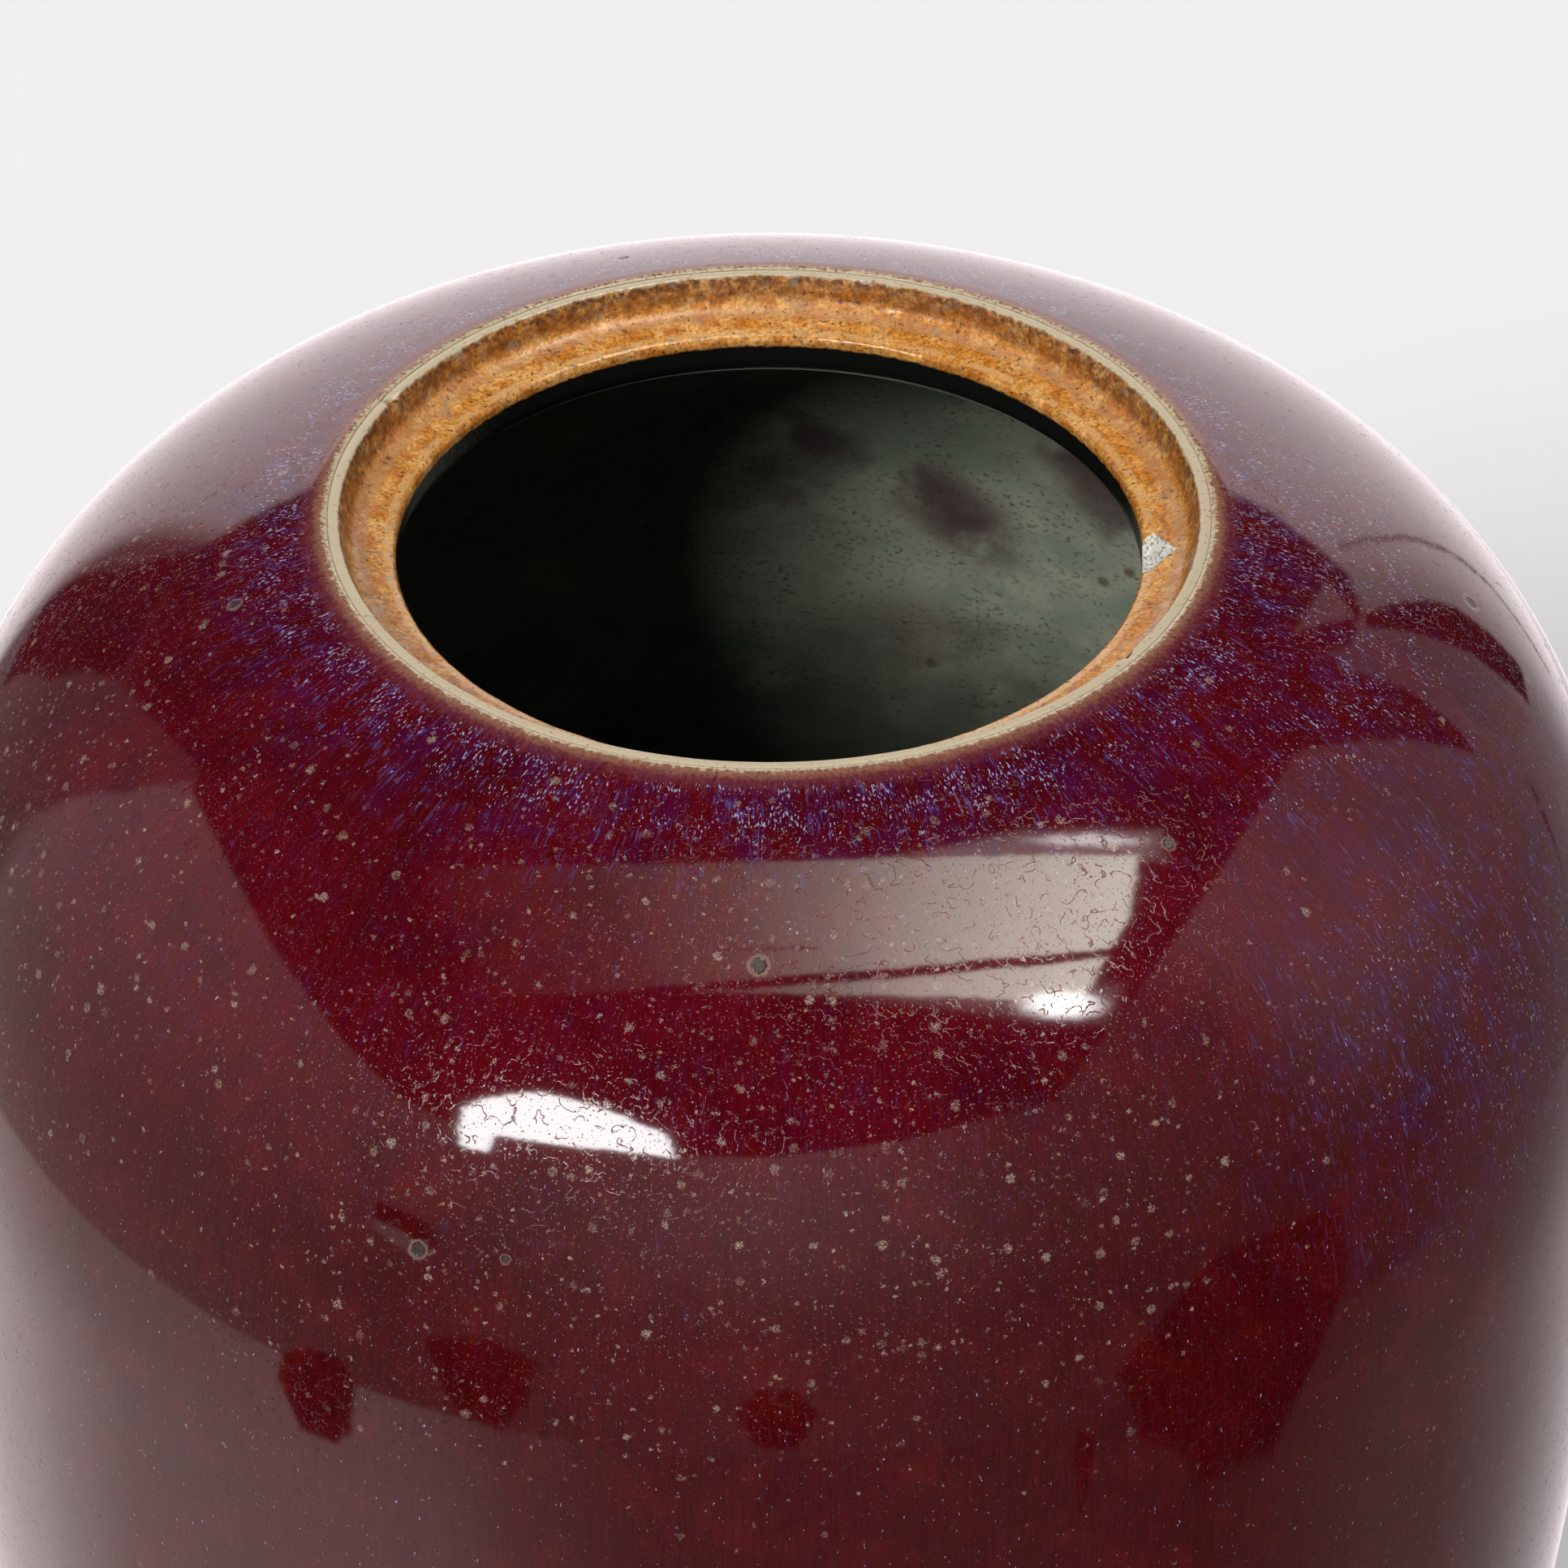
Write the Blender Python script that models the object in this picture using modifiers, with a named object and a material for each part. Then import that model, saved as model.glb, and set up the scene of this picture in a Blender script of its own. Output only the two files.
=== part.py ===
"""Covered jar of flambe glazed stoneware, with its cover taken off and laid beside it.

Metres, +Z up. The jar's axis is the Z axis and its foot stands on z = 0. The cover lies on the
same floor, on the +X side, and lifts straight up.
"""

import math

import bpy
from mathutils import Vector

# Jar outline, measured over the glaze
JAR_HEIGHT = 0.245
BELLY_RADIUS = 0.1103
BELLY_DROP = 0.078
FOOT_RADIUS = 0.078
SHOULDER_SPREAD = 2.79
SHOULDER_RISE = 2.53
TAPER_POWER = 3.3

# Jar wall
WALL_THICKNESS = 0.0065
FLOOR_THICKNESS = 0.009
INNER_FLOOR_CORNER = 0.012
FOOT_BEVEL = 0.0012

# Mouth, from the lip down into the throat
MOUTH_RADIUS = 0.0530
LIP_WIDTH = 0.0022
LIP_ROUND = 0.0004
SEAT_WIDTH = 0.0068
SEAT_WALL_DRAFT = 0.0006
SEAT_WALL_DEPTH = 0.0018
SEAT_COVE_RADIUS = 0.0027
LEDGE_SLOPE = math.radians(12)
THROAT_EDGE_RADIUS = 0.0010
THROAT_FACE_HEIGHT = 0.0045
THROAT_ARRIS = 0.0010

# Glaze coats
OUTER_GLAZE = 0.0007
OUTER_GLAZE_AT_LIP = 0.0003
GLAZE_THINNING_WIDTH = 0.010
GLAZE_LINE_HEIGHT = 0.005
INNER_GLAZE = 0.0005
COAT_GAP = 0.0003

# Cover, measured over the glaze
COVER_CLEARANCE = 0.0012
COVER_RIM_HEIGHT = 0.0045
COVER_RIM_ROUND = 0.0012
COVER_RIM_BEVEL = 0.0006
COVER_DOME_RISE = 0.0085
COVER_REST_WIDTH = 0.0060
COVER_RECESS_DEPTH = 0.0025
KNOB_RADIUS = 0.0115
KNOB_OVERHANG = 0.0040
KNOB_HEAD_HEIGHT = 0.0100
KNOB_NECK_HEIGHT = 0.0030
COVER_GLAZE = 0.0006
COVER_DISTANCE = 0.015

# Facets
JAR_STEPS = 48
COVER_STEPS = 40
SHOULDER_POINTS = 9
TAPER_POINTS = 6
TAPER_SPACING = 0.8
COVE_POINTS = 4
DOME_POINTS = 5
KNOB_POINTS = 6
MERGE_DISTANCE = 0.00001
NORMAL_STEP = 0.0001
HALVINGS = 40

COLLECTION_NAME = "covered_jar"


def clear_scene():
    """Remove every object that the scene holds."""
    for old in list(bpy.data.objects):
        bpy.data.objects.remove(old, do_unlink=True)


def make_collection(name):
    """Return a new collection linked to the scene."""
    collection = bpy.data.collections.new(name)
    bpy.context.scene.collection.children.link(collection)
    return collection


def make_material(name, color, roughness, metallic=0.0):
    """Return a Principled material with one colour."""
    material = bpy.data.materials.new(name)
    material.use_nodes = True
    shader = material.node_tree.nodes["Principled BSDF"]
    shader.inputs["Base Color"].default_value = (*color, 1.0)
    shader.inputs["Roughness"].default_value = roughness
    shader.inputs["Metallic"].default_value = metallic
    material.diffuse_color = (*color, 1.0)
    return material


def arc(center, radius, start, end, count):
    """Points on a circle in the profile plane, from one angle to another, ends included."""
    points = []
    for index in range(count):
        angle = start + (end - start) * index / (count - 1)
        points.append(Vector((center[0] + radius * math.cos(angle), center[1] + radius * math.sin(angle))))
    return points


def offset_inward(points, depth):
    """Move a profile, drawn top to bottom on its outer side, into the solid by a depth."""
    moved = []
    last = len(points) - 1
    for index, point in enumerate(points):
        along = points[min(index + 1, last)] - points[max(index - 1, 0)]
        if point.x == 0.0:
            along = Vector((1.0, 0.0))
        moved.append(point + Vector((along.y, -along.x)).normalized() * depth)
    return moved


def belly_height():
    """Height of the widest ring above the floor."""
    return JAR_HEIGHT - BELLY_DROP


def shoulder_point(share):
    """A point of the shoulder, a superellipse from the lip, share 0, to the belly, share 1."""
    mouth_share = ((MOUTH_RADIUS + LIP_WIDTH) / BELLY_RADIUS) ** SHOULDER_SPREAD
    full_rise = BELLY_DROP / (1.0 - mouth_share) ** (1.0 / SHOULDER_RISE)
    start = math.asin(math.sqrt(mouth_share))
    angle = start + (math.pi / 2 - start) * share
    rise = full_rise * max(math.cos(angle), 0.0) ** (2.0 / SHOULDER_RISE)
    return Vector((BELLY_RADIUS * math.sin(angle) ** (2.0 / SHOULDER_SPREAD), belly_height() + rise))


def taper_point(share):
    """A point of the lower wall, a power curve from the belly, share 0, to the floor, share 1."""
    inset = (BELLY_RADIUS - FOOT_RADIUS) * share ** TAPER_POWER
    return Vector((BELLY_RADIUS - inset, belly_height() * (1.0 - share)))


def outline_point(station):
    """A point over the glaze; stations run 0 to 1 down the shoulder and 1 to 2 down to the floor."""
    if station <= 1.0:
        return shoulder_point(max(station, 0.0))
    return taper_point(min(station, 2.0) - 1.0)


def inward_normal(station):
    """The direction into the wall at a station of the outline."""
    along = outline_point(station + NORMAL_STEP) - outline_point(station - NORMAL_STEP)
    return Vector((along.y, -along.x)).normalized()


def wall_point(station, depth):
    """A point at a depth under the glazed outline."""
    return outline_point(station) + inward_normal(station) * depth


def station_at_height(depth, height):
    """The station where the curve at a depth under the outline passes a height, by halving."""
    upper, lower = 0.0, 2.0
    for _ in range(HALVINGS):
        middle = (upper + lower) / 2
        if wall_point(middle, depth).y > height:
            upper = middle
        else:
            lower = middle
    return (upper + lower) / 2


def stations(first, last):
    """Stations down the shoulder to the belly, and on down the taper, closer towards the foot."""
    shoulder = [first + (1.0 - first) * index / SHOULDER_POINTS for index in range(SHOULDER_POINTS)]
    shares = [(index / TAPER_POINTS) ** TAPER_SPACING for index in range(TAPER_POINTS + 1)]
    return shoulder + [1.0 + (last - 1.0) * share for share in shares]


def glazed_stations():
    """Stations of the outer glaze, from the lip to the glaze line above the foot."""
    return stations(0.0, station_at_height(0.0, GLAZE_LINE_HEIGHT))


def outer_glaze_thickness(station):
    """Thickness of the outer glaze, which thins where it runs up to the lip."""
    run = outline_point(station).x - outline_point(0.0).x
    share = min(run / GLAZE_THINNING_WIDTH, 1.0)
    return OUTER_GLAZE_AT_LIP + (OUTER_GLAZE - OUTER_GLAZE_AT_LIP) * share


def seat_cove_center():
    """Centre of the cove between the seat's wall and its ledge."""
    wall_foot = MOUTH_RADIUS - SEAT_WALL_DRAFT
    return Vector((wall_foot - SEAT_COVE_RADIUS, JAR_HEIGHT - SEAT_WALL_DEPTH))


def ledge_height(radius):
    """Height of the sloping ledge at a radius; the ledge runs on from the cove's lowest part."""
    cove = seat_cove_center()
    foot = cove + Vector((math.sin(LEDGE_SLOPE), -math.cos(LEDGE_SLOPE))) * SEAT_COVE_RADIUS
    return foot.y - (foot.x - radius) * math.tan(LEDGE_SLOPE)


def throat_radius():
    """Radius of the throat, inside the seat."""
    return MOUTH_RADIUS - SEAT_WIDTH


def throat_top():
    """Height of the ledge's inner edge."""
    return ledge_height(throat_radius() + THROAT_EDGE_RADIUS)


def seat_underside():
    """Height of the ceiling inside the jar, round the throat."""
    return throat_top() - THROAT_FACE_HEIGHT - THROAT_ARRIS


def seat_profile():
    """The seat from the throat's lower edge up to the inner edge of the lip."""
    edge_center = (throat_radius() + THROAT_EDGE_RADIUS, throat_top() - THROAT_EDGE_RADIUS)
    throat_foot = Vector((throat_radius(), throat_top() - THROAT_FACE_HEIGHT))
    edge = arc(edge_center, THROAT_EDGE_RADIUS, math.pi, math.pi / 2 + LEDGE_SLOPE, COVE_POINTS)
    cove = arc(seat_cove_center(), SEAT_COVE_RADIUS, -math.pi / 2 + LEDGE_SLOPE, 0.0, COVE_POINTS)
    return [throat_foot] + edge + cove + [Vector((MOUTH_RADIUS, JAR_HEIGHT - LIP_ROUND))]


def lip_profile(body_edge):
    """The lip's crest, from its inner edge over to the rebate that the outer glaze fills."""
    rebate = MOUTH_RADIUS + LIP_WIDTH - COAT_GAP
    return [
        Vector((MOUTH_RADIUS + LIP_ROUND, JAR_HEIGHT)),
        Vector((rebate - LIP_ROUND, JAR_HEIGHT)),
        Vector((rebate, JAR_HEIGHT - LIP_ROUND)),
        Vector((rebate, body_edge.y)),
    ]


def body_outside():
    """The fired body's outside under the glaze, from the lip's rebate to the glaze line."""
    return [wall_point(at, outer_glaze_thickness(at) + COAT_GAP) for at in glazed_stations()]


def inner_wall(coat):
    """The inside of the jar from the floor's centre up to the throat, moved in by a coat."""
    depth = OUTER_GLAZE + COAT_GAP + WALL_THICKNESS
    corner_height = FLOOR_THICKNESS + INNER_FLOOR_CORNER
    lowest = station_at_height(depth + INNER_FLOOR_CORNER, corner_height)
    highest = station_at_height(depth, seat_underside())
    corner_center = wall_point(lowest, depth + INNER_FLOOR_CORNER)
    outward = -inward_normal(lowest)
    wall_angle = math.atan2(outward.y, outward.x)
    corner = arc(corner_center, INNER_FLOOR_CORNER - coat, -math.pi / 2, wall_angle, COVE_POINTS)
    wall = [wall_point(at, depth + coat) for at in stations(highest, lowest)]
    throat = Vector((throat_radius() + THROAT_ARRIS + coat, seat_underside() - coat))
    return [Vector((0.0, FLOOR_THICKNESS + coat))] + corner[:-1] + wall[::-1] + [throat]


def jar_body_profile():
    """The fired body: floor, inner wall, seat, lip, outer wall and unglazed foot."""
    outside = body_outside()
    foot_radius = outside[-1].x
    foot = [
        Vector((foot_radius, FOOT_BEVEL)),
        Vector((foot_radius - FOOT_BEVEL, 0.0)),
        Vector((0.0, 0.0)),
    ]
    return inner_wall(0.0) + seat_profile() + lip_profile(outside[0]) + outside + foot


def outer_glaze_profile():
    """The flambe coat, a closed ring that stands a fitting gap off the body."""
    outside = [outline_point(at) for at in glazed_stations()]
    under = [wall_point(at, outer_glaze_thickness(at)) for at in glazed_stations()]
    return outside + under[::-1]


def inner_glaze_profile():
    """The green coat inside, open at the throat, from the floor up to under the seat."""
    return inner_wall(COAT_GAP + INNER_GLAZE) + inner_wall(COAT_GAP)[::-1]


def cover_radius():
    """The cover's radius, from the foot of the seat's wall less the clearance all round."""
    return MOUTH_RADIUS - SEAT_WALL_DRAFT - COVER_CLEARANCE


def knob_outline(foot):
    """The knob's head over its glaze, from its top on the axis down to its neck."""
    neck_radius = KNOB_RADIUS - KNOB_OVERHANG
    half = KNOB_HEAD_HEIGHT / 2
    center = foot + KNOB_NECK_HEIGHT + half
    lowest = -math.acos(neck_radius / KNOB_RADIUS)
    points = [Vector((0.0, center + half))]
    for index in range(1, KNOB_POINTS):
        angle = math.pi / 2 + (lowest - math.pi / 2) * index / (KNOB_POINTS - 1)
        points.append(Vector((KNOB_RADIUS * math.cos(angle), center + half * math.sin(angle))))
    return points


def dome_outline(foot):
    """The cover's dome over its glaze, a parabola from the knob's neck out to the rim."""
    span = cover_radius() - COVER_RIM_ROUND
    inner = (KNOB_RADIUS - KNOB_OVERHANG) / span
    points = []
    for index in range(DOME_POINTS):
        share = inner + (1.0 - inner) * index / (DOME_POINTS - 1)
        drop = (share ** 2 - inner ** 2) / (1.0 - inner ** 2)
        points.append(Vector((span * share, foot - COVER_DOME_RISE * drop)))
    return points


def cover_outline():
    """The cover over its glaze, from the knob's top down to the rounded corner of the rim."""
    neck_foot = COVER_RIM_HEIGHT + COVER_DOME_RISE
    rim = Vector((cover_radius(), COVER_RIM_HEIGHT - COVER_RIM_ROUND))
    return knob_outline(neck_foot) + dome_outline(neck_foot) + [rim]


def cover_body_profile():
    """The cover's fired body: knob, dome, bare rim and a shallow recess under it."""
    body = offset_inward(cover_outline(), COVER_GLAZE + COAT_GAP)
    rim_radius = body[-1].x
    recess = rim_radius - COVER_REST_WIDTH
    under = [
        Vector((rim_radius, COVER_RIM_BEVEL)),
        Vector((rim_radius - COVER_RIM_BEVEL, 0.0)),
        Vector((recess, 0.0)),
        Vector((recess - COVER_RECESS_DEPTH, COVER_RECESS_DEPTH)),
        Vector((0.0, COVER_RECESS_DEPTH)),
    ]
    return body + under


def cover_glaze_profile():
    """The flambe coat over the cover's knob and dome, open below the rim's corner."""
    outline = cover_outline()
    under = offset_inward(outline, COVER_GLAZE)
    return outline + under[::-1]


def turned_piece(name, profile, closed, steps, material, collection):
    """Turn a profile round the Z axis with a Screw modifier and return the object."""
    mesh = bpy.data.meshes.new(name)
    edges = [(index, index + 1) for index in range(len(profile) - 1)]
    if closed:
        edges.append((len(profile) - 1, 0))
    mesh.from_pydata([(point.x, 0.0, point.y) for point in profile], edges, [])
    mesh.materials.append(material)
    piece = bpy.data.objects.new(name, mesh)
    collection.objects.link(piece)
    screw = piece.modifiers.new("turn", "SCREW")
    screw.axis = "Z"
    screw.angle = 2 * math.pi
    screw.steps = steps
    screw.render_steps = steps
    screw.use_merge_vertices = True
    screw.merge_threshold = MERGE_DISTANCE
    screw.use_smooth_shade = True
    return piece


def build_jar(collection):
    """Make the jar's body and its two coats of glaze."""
    stoneware = make_material("ochre_washed_stoneware", (0.42, 0.20, 0.05), 0.55)
    flambe = make_material("flambe_glaze", (0.16, 0.012, 0.025), 0.08)
    celadon = make_material("grey_green_glaze", (0.20, 0.22, 0.17), 0.25)
    turned_piece("jar_body", jar_body_profile(), False, JAR_STEPS, stoneware, collection)
    turned_piece("outer_glaze", outer_glaze_profile(), True, JAR_STEPS, flambe, collection)
    turned_piece("inner_glaze", inner_glaze_profile(), False, JAR_STEPS, celadon, collection)


def build_cover(collection):
    """Make the cover beside the jar, on an empty that stands on the line it lifts along."""
    stoneware = make_material("bare_stoneware", (0.45, 0.36, 0.27), 0.7)
    flambe = make_material("cover_flambe_glaze", (0.16, 0.012, 0.025), 0.08)
    axis = bpy.data.objects.new("cover_lift_axis", None)
    axis.location = (BELLY_RADIUS + COVER_DISTANCE + cover_radius(), 0.0, 0.0)
    collection.objects.link(axis)
    body = turned_piece("cover_body", cover_body_profile(), False, COVER_STEPS, stoneware, collection)
    glaze = turned_piece("cover_glaze", cover_glaze_profile(), False, COVER_STEPS, flambe, collection)
    for piece in (body, glaze):
        piece.parent = axis


def main():
    """Build the covered jar."""
    clear_scene()
    collection = make_collection(COLLECTION_NAME)
    build_jar(collection)
    build_cover(collection)


main()
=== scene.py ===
"""Looks of the covered jar: a broad jar of flambe glazed stoneware and its loose cover.

Metres, +Z up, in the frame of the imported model. The jar's axis is the Z axis, its foot stands on
z = 0, and the cover lies on the same floor on the +X side. Finishes are written in millimetres:
each one starts from the object's coordinates times a thousand.
"""

import logging
import math
from dataclasses import dataclass, field
from enum import Enum
from functools import reduce
from typing import Callable, Optional, Sequence, Union

import bmesh
import bpy
from mathutils import Matrix, Vector, noise


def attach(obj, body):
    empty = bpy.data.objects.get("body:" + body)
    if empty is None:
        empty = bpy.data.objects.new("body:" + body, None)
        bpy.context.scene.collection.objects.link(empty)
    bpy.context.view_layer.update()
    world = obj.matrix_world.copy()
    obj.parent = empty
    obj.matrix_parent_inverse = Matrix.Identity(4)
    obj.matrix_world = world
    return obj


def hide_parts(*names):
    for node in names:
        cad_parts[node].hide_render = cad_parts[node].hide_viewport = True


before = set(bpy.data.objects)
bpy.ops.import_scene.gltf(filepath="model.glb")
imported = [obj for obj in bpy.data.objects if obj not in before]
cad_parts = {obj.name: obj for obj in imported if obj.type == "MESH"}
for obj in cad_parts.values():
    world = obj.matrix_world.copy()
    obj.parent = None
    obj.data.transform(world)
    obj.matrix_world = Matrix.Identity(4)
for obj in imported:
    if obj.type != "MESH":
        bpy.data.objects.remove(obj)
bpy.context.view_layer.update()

LOG = logging.getLogger("covered_jar")
MILLIMETRE = 0.001
MERGE_DISTANCE = 0.000002
STRIP_OVERRUN = 0.3
STRIP_SOFT = 0.14

Socket = bpy.types.NodeSocket
Value = Union[float, Sequence[float], bpy.types.NodeSocket]
Color = tuple[float, float, float, float]
Place = tuple[float, float, float]


def fired(red: int, green: int, blue: int) -> Color:
    """Turn a colour as a screen shows it into the linear colour that a shader takes.

    Args:
        red: Red from 0 to 255.
        green: Green from 0 to 255.
        blue: Blue from 0 to 255.

    Returns:
        The linear colour with full alpha.
    """
    linear = []
    for channel in (red, green, blue):
        share = channel / 255
        linear.append(share / 12.92 if share <= 0.04045 else ((share + 0.055) / 1.055) ** 2.4)
    return (linear[0], linear[1], linear[2], 1.0)


def grey(glow: float) -> Color:
    """Return a neutral colour of one brightness, which may be above 1."""
    return (glow, glow, glow, 1.0)


class NodeGraph:
    """Writes shader nodes: each method adds a node and returns the socket with its result."""

    def __init__(self, tree: bpy.types.NodeTree) -> None:
        """Empty the tree, so that the graph starts bare."""
        self.tree = tree
        tree.nodes.clear()

    def node(
        self,
        kind: str,
        feeds: Optional[dict[Union[int, str], Value]] = None,
        **settings: object,
    ) -> bpy.types.Node:
        """Add one node.

        Args:
            kind: Blender's name for the node's class.
            feeds: A link or a plain value for each input that isn't left alone.
            **settings: The node's own options.

        Returns:
            The new node.
        """
        made = self.tree.nodes.new(kind)
        for name, setting in settings.items():
            setattr(made, name, setting)
        for name, value in (feeds or {}).items():
            if isinstance(value, bpy.types.NodeSocket):
                self.tree.links.new(value, made.inputs[name])
            else:
                made.inputs[name].default_value = value
        return made

    def math(self, operation: str, first: Value, second: Value = 0.0, clamp: bool = False) -> Socket:
        """Work out one number; clamp keeps it between 0 and 1."""
        made = self.node("ShaderNodeMath", {0: first, 1: second}, operation=operation, use_clamp=clamp)
        return made.outputs[0]

    def times(self, first: Value, *others: Value) -> Socket:
        """Multiply two or more numbers."""
        return reduce(lambda so_far, other: self.math("MULTIPLY", so_far, other), others, first)

    def plus(self, first: Value, *others: Value) -> Socket:
        """Add two or more numbers."""
        return reduce(lambda so_far, other: self.math("ADD", so_far, other), others, first)

    def minus(self, first: Value, second: Value) -> Socket:
        """Take one number from another."""
        return self.math("SUBTRACT", first, second)

    def highest(self, first: Value, *others: Value) -> Socket:
        """Return the highest of two or more numbers."""
        return reduce(lambda so_far, other: self.math("MAXIMUM", so_far, other), others, first)

    def vector(self, operation: str, first: Value, second: Value = (0.0, 0.0, 0.0)) -> Socket:
        """Work out one vector."""
        made = self.node("ShaderNodeVectorMath", {0: first, 1: second}, operation=operation)
        return made.outputs["Vector"]

    def scaled(self, vector: Value, factor: float) -> Socket:
        """Make a vector or a colour longer by a factor."""
        made = self.node("ShaderNodeVectorMath", {0: vector, "Scale": factor}, operation="SCALE")
        return made.outputs["Vector"]

    def measure(self, operation: str, first: Value, second: Value = (0.0, 0.0, 0.0)) -> Socket:
        """Work out a number from vectors, such as a length or a dot product."""
        made = self.node("ShaderNodeVectorMath", {0: first, 1: second}, operation=operation)
        return made.outputs["Value"]

    def combine(self, x: Value, y: Value, z: Value) -> Socket:
        """Join three numbers into a vector."""
        return self.node("ShaderNodeCombineXYZ", {0: x, 1: y, 2: z}).outputs[0]

    def separate(self, place: Value) -> tuple[Socket, Socket, Socket]:
        """Split a vector into its three numbers."""
        parts = self.node("ShaderNodeSeparateXYZ", {0: place}).outputs
        return parts[0], parts[1], parts[2]

    def step(
        self,
        value: Value,
        low: float,
        high: float,
        to_low: float = 0.0,
        to_high: float = 1.0,
    ) -> Socket:
        """Pass softly from one value to another as a number goes from low to high.

        Args:
            value: The number that is followed.
            low: Where the passage starts.
            high: Where it ends; it may be below low.
            to_low: The result at low and before it.
            to_high: The result at high and after it.

        Returns:
            The result's socket.
        """
        feeds = {"Value": value, "From Min": low, "From Max": high, "To Min": to_low, "To Max": to_high}
        made = self.node("ShaderNodeMapRange", feeds, interpolation_type="SMOOTHSTEP", clamp=True)
        return made.outputs["Result"]

    def band(self, value: Value, middle: float, half: float, soft: float) -> Socket:
        """Mark half a width on each side of a middle, with soft edges outside it."""
        away = self.math("ABSOLUTE", self.minus(value, middle))
        return self.step(away, half, half + soft, 1.0, 0.0)

    def mix(self, share: Value, first: Value, second: Value, blend: str = "MIX") -> Socket:
        """Mix two colours.

        Args:
            share: How much of the second colour shows, from 0 to 1.
            first: The colour below.
            second: The colour above.
            blend: The Mix node's blend type.

        Returns:
            The mixed colour's socket.
        """
        feeds = {0: share, 6: first, 7: second}
        made = self.node("ShaderNodeMix", feeds, data_type="RGBA", blend_type=blend, clamp_factor=True)
        return made.outputs[2]

    def blend(self, share: Value, first: Value, second: Value) -> Socket:
        """Mix two numbers by how much of the second one counts."""
        feeds = {0: share, 2: first, 3: second}
        return self.node("ShaderNodeMix", feeds, data_type="FLOAT", clamp_factor=True).outputs[0]

    def shaded(self, color: Value, amount: Socket) -> Socket:
        """Make a colour darker or lighter by a number round 1."""
        return self.mix(1.0, color, self.combine(amount, amount, amount), "MULTIPLY")

    def ramp(self, value: Value, stops: Sequence[tuple[float, Color]]) -> Socket:
        """Look a colour up along a ramp.

        Args:
            value: The place on the ramp, from 0 to 1.
            stops: Place and colour of each stop, in rising order.

        Returns:
            The colour's socket.
        """
        made = self.node("ShaderNodeValToRGB", {0: value})
        elements = made.color_ramp.elements
        while len(elements) < len(stops):
            elements.new(1.0)
        for element, (place, color) in zip(elements, stops):
            element.position = place
            element.color = color
        return made.outputs[0]

    def grain(self, place: Value, size: float, detail: float = 2.0, torn: float = 0.0) -> Socket:
        """Add soft noise of about a size; most of it lies between 0.2 and 0.8."""
        feeds = {"Vector": place, "Scale": 1.0 / size, "Detail": detail, "Distortion": torn}
        return self.node("ShaderNodeTexNoise", feeds).outputs[0]

    def stirred(self, place: Value, size: float, reach: float) -> Socket:
        """Move a place about by noise, so that what is drawn there gets ragged edges.

        Args:
            place: The place.
            size: The size of the noise's features.
            reach: How far apart two neighbours can be moved.

        Returns:
            The moved place.
        """
        noisy = self.node("ShaderNodeTexNoise", {"Vector": place, "Scale": 1.0 / size, "Detail": 3.0})
        about = self.vector("SUBTRACT", noisy.outputs["Color"], (0.5, 0.5, 0.5))
        return self.vector("ADD", place, self.scaled(about, reach))

    def cells(self, place: Value, size: float, feature: str = "F1") -> bpy.types.Node:
        """Add a pattern of cells of a size, whose Distance and Color are read."""
        feeds = {"Vector": place, "Scale": 1.0 / size}
        return self.node("ShaderNodeTexVoronoi", feeds, feature=feature)

    def object_place(self, axis_x: float = 0.0) -> Socket:
        """Read the place on the piece, in millimetres.

        Args:
            axis_x: Where the axis that it is measured from stands, in metres.

        Returns:
            The place's socket.
        """
        place = self.node("ShaderNodeTexCoord").outputs["Object"]
        moved = self.vector("SUBTRACT", place, (axis_x, 0.0, 0.0))
        return self.vector("MULTIPLY", moved, (1.0 / MILLIMETRE,) * 3)

    def spot(self, place: Value, center: Place, radii: Place, soft: float) -> Socket:
        """Mark an egg-shaped spot; soft is the share of its radii that the edge takes."""
        away = self.vector("DIVIDE", self.vector("SUBTRACT", place, center), radii)
        return self.step(self.measure("LENGTH", away), 1.0 - soft, 1.0 + soft, 1.0, 0.0)

    def surface(
        self, color: Value, roughness: Value, height: Value, ior: float, reflection_shade: Optional[Socket] = None
    ) -> None:
        """End the graph in a glazed or fired surface.

        Args:
            color: The surface's colour.
            roughness: Its roughness.
            height: Its fine relief, in millimetres.
            ior: The index of refraction, which sets how strongly it mirrors.
            reflection_shade: A mask of painted shade, where it doesn't mirror at all.
        """
        bump = self.node("ShaderNodeBump", {"Strength": 1.0, "Distance": MILLIMETRE, "Height": height})
        feeds = {"Base Color": color, "Roughness": roughness, "IOR": ior, "Normal": bump.outputs[0]}
        shader = self.node("ShaderNodeBsdfPrincipled", feeds).outputs[0]
        if reflection_shade is not None:
            matt = self.node("ShaderNodeBsdfDiffuse", {"Color": color}).outputs[0]
            shader = self.node("ShaderNodeMixShader", {0: reflection_shade, 1: shader, 2: matt}).outputs[0]
        self.node("ShaderNodeOutputMaterial", {0: shader})


def new_material(name: str) -> tuple[bpy.types.Material, NodeGraph]:
    """Start a new material and the graph that writes its nodes.

    Args:
        name: The material's name.

    Returns:
        The material and its graph.
    """
    material = bpy.data.materials.new(name)
    material.use_nodes = True
    return material, NodeGraph(material.node_tree)


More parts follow.
